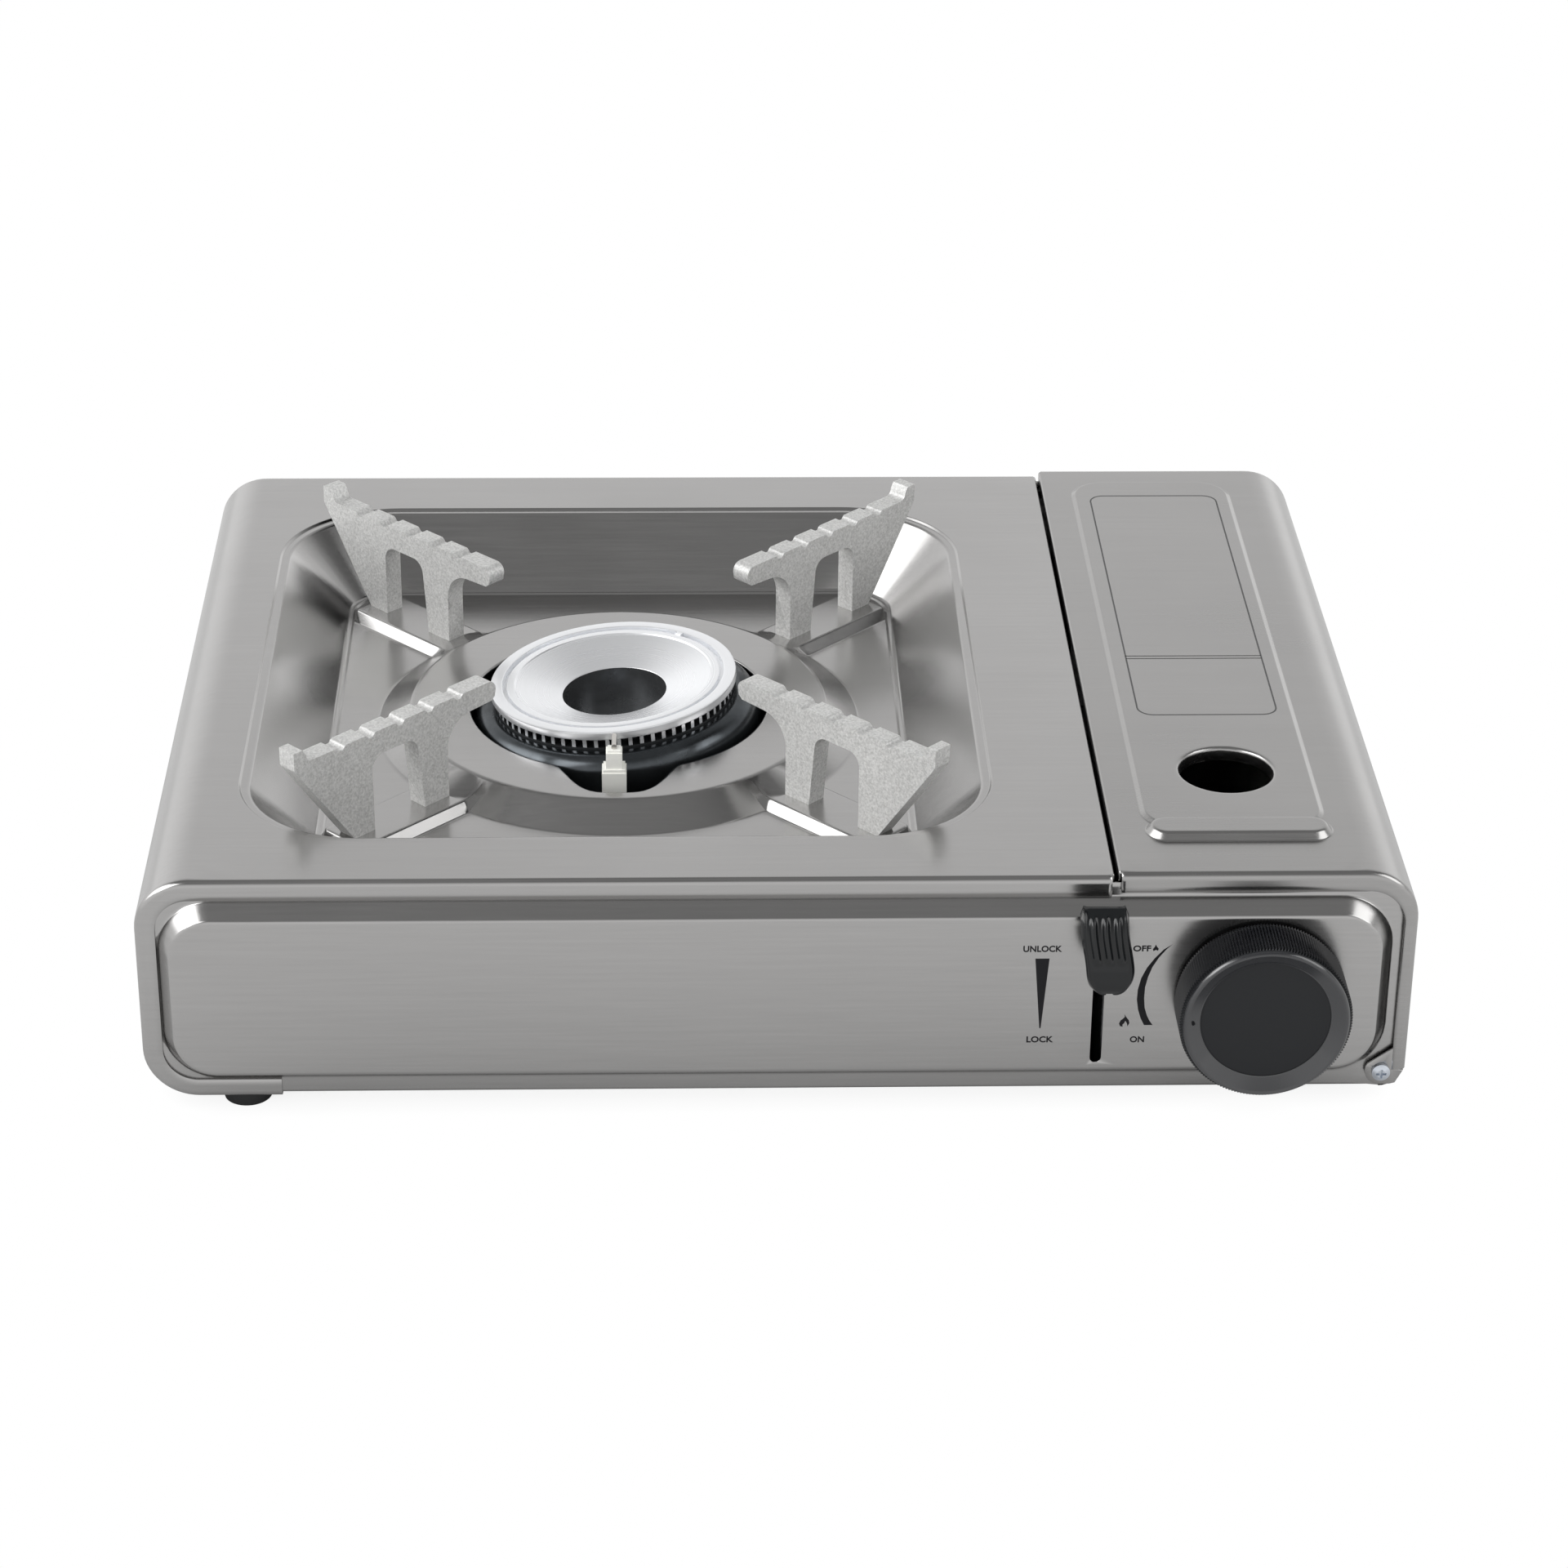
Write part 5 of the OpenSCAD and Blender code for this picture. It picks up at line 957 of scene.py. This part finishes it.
class STOVE_OT_burner(Operator):
    """Turn the burner head with its flame slots and spin the bowl under it"""
    bl_idname = "stove.burner"
    bl_label = "Burner"

    def execute(self, context):
        slots = context.scene.stove_looks.flame_slots
        head_r, top, ring_low, well, skirt_r = 39.0, 9.0, 6.3, 16.5, 33.0
        profile = [(well, 3.5), (well + 0.25, 3.75), (30.6, 8.15), (31.0, 8.2), (31.4, 8.55),
                   (33.4, 8.6), (33.7, 8.5), (33.9, 7.2), (35.0, 7.2), (35.2, 8.85), (35.5, 9.0),
                   (head_r - 0.5, top), (head_r - 0.15, top - 0.15), (head_r, top - 0.5),
                   (head_r, ring_low + 0.4), (head_r - 0.15, ring_low + 0.12),
                   (head_r - 0.4, ring_low),
                   (34, ring_low), (34, ring_low - 1.4), (31, ring_low - 1.4), (18, 1.5), (18, -9),
                   (1.6, -9), (1.6, -7.8), (well, -7.8), (well, 3.5)]
        bm = bmesh.new()
        turn_profile(bm, profile, 144)
        bmesh.ops.remove_doubles(bm, verts=bm.verts, dist=0.002)
        # Teeth between the slots, from the skirt up to the ring
        slot_r, deep, low, high = 37.6, 4.0, 3.2, ring_low + 0.05
        step = math.tau / slots
        outer, inner = [], []
        for i in range(slots):
            for k, r in ((-0.17, slot_r), (0.17, slot_r),
                         (0.21, slot_r - deep), (0.79, slot_r - deep)):
                x, y = math.cos((i + k) * step), math.sin((i + k) * step)
                outer.append((r * x, r * y))
                inner.append((skirt_r * x, skirt_r * y))
        loft(bm, [[(x, y, z) for x, y in ring] for ring, z in
                  ((inner, low), (outer, low), (outer, high), (inner, high), (inner, low))],
             closed=True)
        turn_profile(bm, [(skirt_r, 0.6), (37.8, 0.6), (37.8, low), (skirt_r, low), (skirt_r, 0.6)],
                     2 * slots)
        # The small bright block across the groove
        bmesh.ops.create_cube(bm, size=1, matrix=Matrix.Rotation(math.radians(52), 4, "Z")
                              @ Matrix.Translation((34.4, 0, 8.2))
                              @ Matrix.Diagonal((1.3, 1.9, 1.5, 1)))
        for face in bm.faces:
            x, y, z = face.calc_center_median()
            r = math.hypot(x, y)
            # Painted shade: the well's wall and floor take the dark well finish
            if r < well + 0.12 and z < 3.8:
                face.material_index = 1
            # Painted shade: faces below the teeth and the slot floors between them take the dark
            # slot finish
            elif z < low - 0.02 or (skirt_r - 0.1 < r < slot_r - 0.6
                                    and low - 0.1 < z < ring_low + 0.1):
                face.material_index = 2
        bmesh.ops.transform(bm, matrix=burner_seat(), verts=bm.verts)
        closed_piece(context, "turned_head", bm, "stove", "turned_aluminium",
                     ("turned_aluminium", "painted_shade_well", "painted_shade_slots"),
                     ("burner_head",), 32)
        outside = (arc(39.3, -3.2, 5.8, 84, 6, 12) + [(45.7, -5.5), (46.3, -9.0)]
                   + arc(42.4, -12.5, 4, 0, -90, 8))
        within = (arc(42.4, -12.5, 2.8, -90, 0, 8) + [(45.1, -9.0), (44.5, -5.5)]
                  + arc(39.3, -3.2, 4.6, 6, 84, 12))
        bowl = ([(skirt_r, 0.6), (37.9, 0.6), (38.0, 2.5), (38.8, 2.6)] + outside
                + [(12.5, -16.5), (12.5, -15.3)] + within
                + [(37.0, -0.6), (skirt_r, -0.6), (skirt_r, 0.6)])
        bm = bmesh.new()
        turn_profile(bm, bowl, 96, burner_seat())
        closed_piece(context, "spun_bowl", bm, "stove", "zinc_plated_steel",
                     ("zinc_bowl",), ("burner_bowl",), 40)
        return {"FINISHED"}


# ---------------------------------------------------------------- knob and lever tab

class STOVE_OT_controls(Operator):
    """Make the control knob with its grip ridges and the thumb tab of the lock lever"""
    bl_idname = "stove.controls"
    bl_label = "Controls"

    def execute(self, context):
        self.knob(context)
        self.tab(context)
        return {"FINISHED"}

    def knob(self, context):
        """The knob, its ridges between two smooth edges, and a glossy cone round its face; cone and
        ridges get a lighter copy of the plastic, a painted highlight
        """
        ridges = context.scene.stove_looks.knob_ridges
        r, valley, deep = 25.0, 24.2, 15.5
        profile = [(0.0, 9.0), (4.1, 9.0), (4.1, 0.0), (7.0, 0.0), (7.0, 9.0), (22.0, 9.0),
                   (22.0, 0.0), (valley, 0.0), (r, 0.6), (r, deep - 2.2), (r - 0.25, deep - 1.7),
                   (24.1, deep - 1.3), (24.05, deep - 0.9), (23.75, deep - 0.3), (23.3, deep),
                   (22.9, deep - 0.05), (22.5, deep - 0.35), (19.3, deep - 2.6),
                   (18.9, deep - 2.75), (18.5, deep - 2.55), (18.2, deep - 2.5),
                   (9.0, deep - 2.45), (0.0, deep - 2.4)]
        bm = bmesh.new()
        turn_profile(bm, profile, 2 * ridges)
        for vert in bm.verts:
            x, y, z = vert.co
            turn = round(math.atan2(y, x) / (math.pi / ridges))
            if math.hypot(x, y) > 24.6 and 0.3 < z < deep - 1.6 and turn % 2:
                vert.co.x *= valley / r
                vert.co.y *= valley / r
        # Painted highlight with real gloss: the face cone and the ridges take the lighter, glossier
        # finish
        for face in bm.faces:
            x, y, z = face.calc_center_median()
            away = math.hypot(x, y)
            if (18.9 < away < 23.9 and z > deep - 3) or (away > 24.3 and 0.7 < z < deep - 2):
                face.material_index = 1
        place = Matrix.Translation((KNOB_X, -149.0, KNOB_Z)) @ Matrix.Rotation(math.pi / 2, 4, "X")
        bmesh.ops.transform(bm, matrix=place, verts=bm.verts)
        closed_piece(context, "grip_knob", bm, "knob", "knob_plastic",
                     ("knob_plastic", "knob_gloss_painted_highlight"),
                     ("control_knob",), 30)
        bm = bmesh.new()
        bmesh.ops.create_cone(bm, cap_ends=True, segments=16, radius1=0.75, radius2=0.65, depth=0.3,
                              matrix=place @ Matrix.Translation((-21.2, 0, deep - 1.25))
                              @ Matrix.Rotation(math.radians(-35), 4, "Y"))
        closed_piece(context, "knob_dot", bm, "knob", "white_plastic",
                     ("print_ink",), (), 30)

    def tab(self, context):
        """The thumb tab: a curved strip with three grooves, leaning to a round lobe"""
        y, z = -149.6, 66.0
        curve = [(y - out, z - down) for out, down in (
            (0, 0.6), (1.0, -0.5), (2.6, -0.7), (4.6, 0.2), (6.6, 2.2), (8.6, 5.2), (10.2, 8.8),
            (11.4, 12.6), (12.2, 15.4), (12.5, 18.0), (12.3, 20.4), (11.4, 22.2), (10.2, 23.0),
            (8.8, 23.2))]
        half, lobe_top, lobe_r, lean_by = 6.0, z - 14.6, 8.5, 1.6
        last = len(curve) - 1
        bm = bmesh.new()
        grid = bmesh.ops.create_grid(bm, x_segments=28, y_segments=4 * last, size=1)
        for vert in grid["verts"]:
            u, v = vert.co.x, (1 - vert.co.y) / 2 * last
            i = min(int(v), last - 1)
            f = v - i
            py, pz = catmull(curve, i, f)
            ahead = catmull(curve, i, min(f + 0.02, 1.0)) if f < 0.97 else (py, pz)
            behind = catmull(curve, i, max(f - 0.02, 0.0))
            ty, tz = ahead[0] - behind[0], ahead[1] - behind[1]
            n = math.hypot(ty, tz) or 1
            drop = min(max(0.0, lobe_top - pz) / lobe_r, 0.985)
            x = u * half * math.sqrt(max(1 - drop ** 2, 0.02))
            groove = sum(max(0.0, 1 - ((x - g) / 1.05) ** 2) for g in (-3.5, 0.0, 3.5))
            fade = min(1.0, max(0.0, (pz - (z - 12.6)) / 0.8)) * min(1.0, max(0.0, v - 3.0))
            sink = 1.1 * groove * fade + 0.35 * max(0.0, abs(u) - 0.85) / 0.15
            lean = min(max((z - 3 - pz) / 13, 0), 1)
            vert.co = (LEVER_X + x + lean_by * lean * lean * (3 - 2 * lean),
                       py + sink * tz / n, pz - sink * ty / n)
        face_out(bm, (LEVER_X, -900, 300))
        obj = new_piece(context, "thumb_tab", bm, "lever", "tab_plastic",
                        ("tab_plastic",), ("lever_thumb_tab",), 50, False)
        thicken(obj, 2.6)
        soften(obj, 0.3, 3, 60)


def catmull(points, i, t):
    """Smooth point between points i and i + 1."""
    p0, p1 = points[max(i - 1, 0)], points[i]
    p2, p3 = points[i + 1], points[min(i + 2, len(points) - 1)]
    return tuple(0.5 * (2 * b + (c - a) * t + (2 * a - 5 * b + 4 * c - d) * t * t
                        + (3 * b - a - 3 * c + d) * t ** 3) for a, b, c, d in zip(p0, p1, p2, p3))


# ---------------------------------------------------------------- printed marks

class STOVE_OT_marks(Operator):
    """Print the plain marks beside the lever and the knob"""
    bl_idname = "stove.marks"
    bl_label = "Printed marks"

    face_y = -147.6
    shapes = {
        "mark_wedge": [(73.9, 47.6), (78.0, 47.6), (76.3, 24.2), (75.9, 24.2)],
        "mark_crescent": [
            (113.3, 52.1), (110.9, 50.4), (108.5, 47.6), (106.3, 44.3), (104.8, 40.8),
            (104.0, 36.9), (103.9, 33.6), (104.4, 30.3), (105.3, 27.3), (106.4, 25.0),
            (108.9, 25.0), (107.9, 26.5), (107.1, 28.2), (106.3, 30.9), (106.0, 34.2),
            (106.1, 37.8), (106.8, 41.3), (107.9, 44.6), (109.6, 47.7), (111.6, 50.4)],
        "mark_flame": [
            (100.6, 28.7), (101.2, 27.6), (101.9, 26.7), (102.1, 25.7), (101.6, 24.6),
            (101.4, 25.6), (100.9, 26.5), (100.6, 25.7), (100.1, 25.2), (100.2, 24.5),
            (99.4, 24.7), (99.1, 25.6), (99.5, 26.6), (100.2, 27.2), (100.7, 27.8)],
        "mark_low_flame": [
            (108.5, 52.1), (108.9, 51.3), (109.4, 50.7), (109.2, 50.0), (108.6, 50.3),
            (107.9, 49.9), (107.7, 50.6), (108.2, 51.2)],
    }
    # Each word's box: left, right, bottom, top
    words = {"unlock": (70.3, 81.5, 49.8, 51.9), "lock": (72.3, 80.1, 19.3, 21.4),
             "off": (102.0, 107.2, 49.8, 51.8), "on": (102.5, 106.7, 19.1, 21.2)}

    def execute(self, context):
        pieces = {"word_" + name: self.word(name, box) for name, box in self.words.items()}
        pieces |= {name: self.shape(outline) for name, outline in self.shapes.items()}
        for name, bm in pieces.items():
            closed_piece(context, name, bm, "stove", "stainless_tray", ("print_ink",), (), 30)
        return {"FINISHED"}

    def shape(self, outline):
        bm = bmesh.new()
        bm.faces.new([bm.verts.new((x, self.face_y - INK_GAP, z)) for x, z in outline])
        raise_faces(bm, (0, -INK_HEIGHT, 0))
        bmesh.ops.triangulate(bm, faces=bm.faces)
        return bm

    def word(self, name, box):
        """A plain word beside a control, made a mesh and fitted into its box"""
        curve = bpy.data.curves.new("word_" + name, "FONT")
        curve.body = name.upper()
        curve.resolution_u = 4
        curve.offset = 0.03
        holder = bpy.data.objects.new("word_" + name, curve)
        mesh = bpy.data.meshes.new_from_object(holder)
        bm = bmesh.new()
        bm.from_mesh(mesh)
        bpy.data.objects.remove(holder)
        bpy.data.curves.remove(curve)
        bpy.data.meshes.remove(mesh)
        xs = [v.co.x for v in bm.verts]
        ys = [v.co.y for v in bm.verts]
        for vert in bm.verts:
            u = (vert.co.x - min(xs)) / (max(xs) - min(xs))
            v = (vert.co.y - min(ys)) / (max(ys) - min(ys))
            vert.co = (box[0] + u * (box[1] - box[0]), self.face_y - INK_GAP,
                       box[2] + v * (box[3] - box[2]))
        raise_faces(bm, (0, -INK_HEIGHT, 0))
        return bm


# ---------------------------------------------------------------- stage

def grey_ramp(tree, value, first, last, *between):
    """A colour ramp of greys: (place, level)."""
    ramp = node(tree, "ShaderNodeValToRGB", {"Fac": value})
    stops = ramp.color_ramp.elements
    for stop, (place, level) in zip(stops, (first, last)):
        stop.position, stop.color = place, (level, level, level, 1)
    for place, level in between:
        stops.new(place).color = (level, level, level, 1)
    return ramp


class STOVE_OT_stage(Operator):
    """Set the floor, the studio, the lamps and the camera"""
    bl_idname = "stove.stage"
    bl_label = "Stage"

    def execute(self, context):
        self.world(context)
        self.floor(context)
        self.lamps(context)
        self.camera(context)
        context.scene.view_settings.view_transform = "Standard"
        return {"FINISHED"}

    def world(self, context):
        world = bpy.data.worlds.new("studio")
        context.scene.world = world
        world.use_nodes = True
        tree = world.node_tree
        coords = node(tree, "ShaderNodeTexCoord", {}).outputs["Generated"]
        place = node(tree, "ShaderNodeSeparateXYZ", {0: coords}).outputs
        ramp = grey_ramp(tree, to_range(tree, place["Z"], -1.0, 1.0, 0.0, 1.0), (0.0, 1.0),
                         (1.0, 0.30), (0.46, 1.0), (0.73, 0.95), (0.82, 0.62), (0.93, 0.23))
        ramp.color_ramp.interpolation = "EASE"
        total = ramp.outputs["Color"]
        # Soft boxes and a dark card: direction, cosine at the edge and inside, level
        for direction, low, high, level in (((-0.80, 0.08, 0.58), 0.92, 0.98, 3.0),
                                            ((0.50, 0.85, 0.10), 0.97, 0.995, 0.3),
                                            ((-0.60, 0.80, 0.0), 0.84, 0.96, 0.15),
                                            ((0.82, 0.11, 0.55), 0.84, 0.97, -0.5)):
            near = vector_node(tree, "DOT_PRODUCT", coords, Vector(direction).normalized())
            light = to_range(tree, near.outputs["Value"], low, high, 0.0, level)
            total = vector_node(tree, "ADD", total, light).outputs[0]
        tree.links.new(total, tree.nodes["Background"].inputs["Color"])

    def floor(self, context):
        bm = bmesh.new()
        bmesh.ops.create_grid(bm, x_segments=2, y_segments=2, size=3)
        mesh = bpy.data.meshes.new("floor")
        bm.to_mesh(mesh)
        bm.free()
        obj = bpy.data.objects.new("floor", mesh)
        context.collection.objects.link(obj)
        material = bpy.data.materials.new("white_floor")
        material.use_nodes = True
        tree = material.node_tree
        tree.nodes.remove(tree.nodes["Principled BSDF"])
        # The camera sees white with a thin contact shadow, and the metal a wider, softer one
        near, wide = (node(tree, "ShaderNodeAmbientOcclusion", {"Distance": reach}, samples=count)
                      for reach, count in ((0.02, 32), (0.12, 8)))
        ramp = grey_ramp(tree, near.outputs["AO"], (0.0, 0.03), (0.5, 1.0), (0.03, 0.3),
                         (0.09, 0.9))
        mixed = node(tree, "ShaderNodeMix", {
            "Factor": node(tree, "ShaderNodeLightPath", {}).outputs["Is Camera Ray"],
            "A": to_range(tree, wide.outputs["AO"], 0.0, 1.0, 0.0, 0.86),
            "B": ramp.outputs["Color"]}, data_type="RGBA")
        light = node(tree, "ShaderNodeEmission", {"Color": mixed.outputs["Result"]})
        tree.links.new(light.outputs["Emission"], tree.nodes["Material Output"].inputs["Surface"])
        mesh.materials.append(material)

    def lamps(self, context):
        power = context.scene.stove_looks.lamp_power
        for name, place, size, share in (("key", (-0.9, -0.5, 0.9), 0.7, 1.0),
                                         ("fill", (1.0, -0.3, 0.8), 0.7, 0.6)):
            lamp = bpy.data.lights.new(name, "AREA")
            lamp.energy = power * share
            lamp.size = size
            obj = bpy.data.objects.new(name, lamp)
            context.collection.objects.link(obj)
            obj.location = place
            obj.rotation_euler = (-Vector(place)).to_track_quat("-Z", "Y").to_euler()

    def camera(self, context):
        """The photo's view, as fitted to its edges: angles in degrees, focal length in pixels"""
        pitch, yaw, roll = (math.radians(a) for a in (28.0965, 1.9027, 0.6191))
        ahead = Vector((math.sin(yaw) * math.cos(pitch), math.cos(yaw) * math.cos(pitch),
                        -math.sin(pitch)))
        right = Vector((math.cos(yaw), -math.sin(yaw), 0))
        up = right.cross(ahead)
        across = math.cos(roll) * right + math.sin(roll) * up
        upward = -math.sin(roll) * right + math.cos(roll) * up
        lens = bpy.data.cameras.new("camera")
        lens.sensor_width = 36
        lens.lens = lens.sensor_width * 5105.4 / 1920
        obj = bpy.data.objects.new("camera", lens)
        context.collection.objects.link(obj)
        turn = Matrix((across, upward, -ahead)).transposed().to_4x4()
        obj.matrix_world = Matrix.Translation((-0.03343, -1.17244, 0.66300)) @ turn
        context.scene.camera = obj


# ---------------------------------------------------------------- add-on

class STOVE_PT_panel(Panel):
    """Panel with the stove's settings"""
    bl_idname = "STOVE_PT_panel"
    bl_label = "Cassette stove"
    bl_space_type = "VIEW_3D"
    bl_region_type = "UI"
    bl_category = "Stove"

    def draw(self, context):
        scene = context.scene
        for group in (scene.stove_case, scene.stove_recess, scene.stove_looks):
            for name in group.__annotations__:
                self.layout.prop(group, name)
        for operator in STEPS:
            self.layout.operator(operator.bl_idname)


STEPS = (STOVE_OT_materials, STOVE_OT_top_shell, STOVE_OT_lid, STOVE_OT_tray,
         STOVE_OT_pan_supports, STOVE_OT_burner, STOVE_OT_controls, STOVE_OT_marks,
         STOVE_OT_stage)
CLASSES = (StoveCase, StoveRecess, StoveLooks) + STEPS + (STOVE_PT_panel,)


def register():
    for cls in CLASSES:
        bpy.utils.register_class(cls)
    bpy.types.Scene.stove_case = PointerProperty(type=StoveCase)
    bpy.types.Scene.stove_recess = PointerProperty(type=StoveRecess)
    bpy.types.Scene.stove_looks = PointerProperty(type=StoveLooks)


def unregister():
    del bpy.types.Scene.stove_looks
    del bpy.types.Scene.stove_recess
    del bpy.types.Scene.stove_case
    for cls in reversed(CLASSES):
        bpy.utils.unregister_class(cls)


def main():
    register()
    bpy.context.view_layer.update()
    bpy.ops.stove.materials()
    bpy.ops.stove.top_shell()
    bpy.ops.stove.lid()
    bpy.ops.stove.tray()
    bpy.ops.stove.pan_supports()
    bpy.ops.stove.burner()
    bpy.ops.stove.controls()
    bpy.ops.stove.marks()
    bpy.ops.stove.stage()


if __name__ == "__main__":
    main()
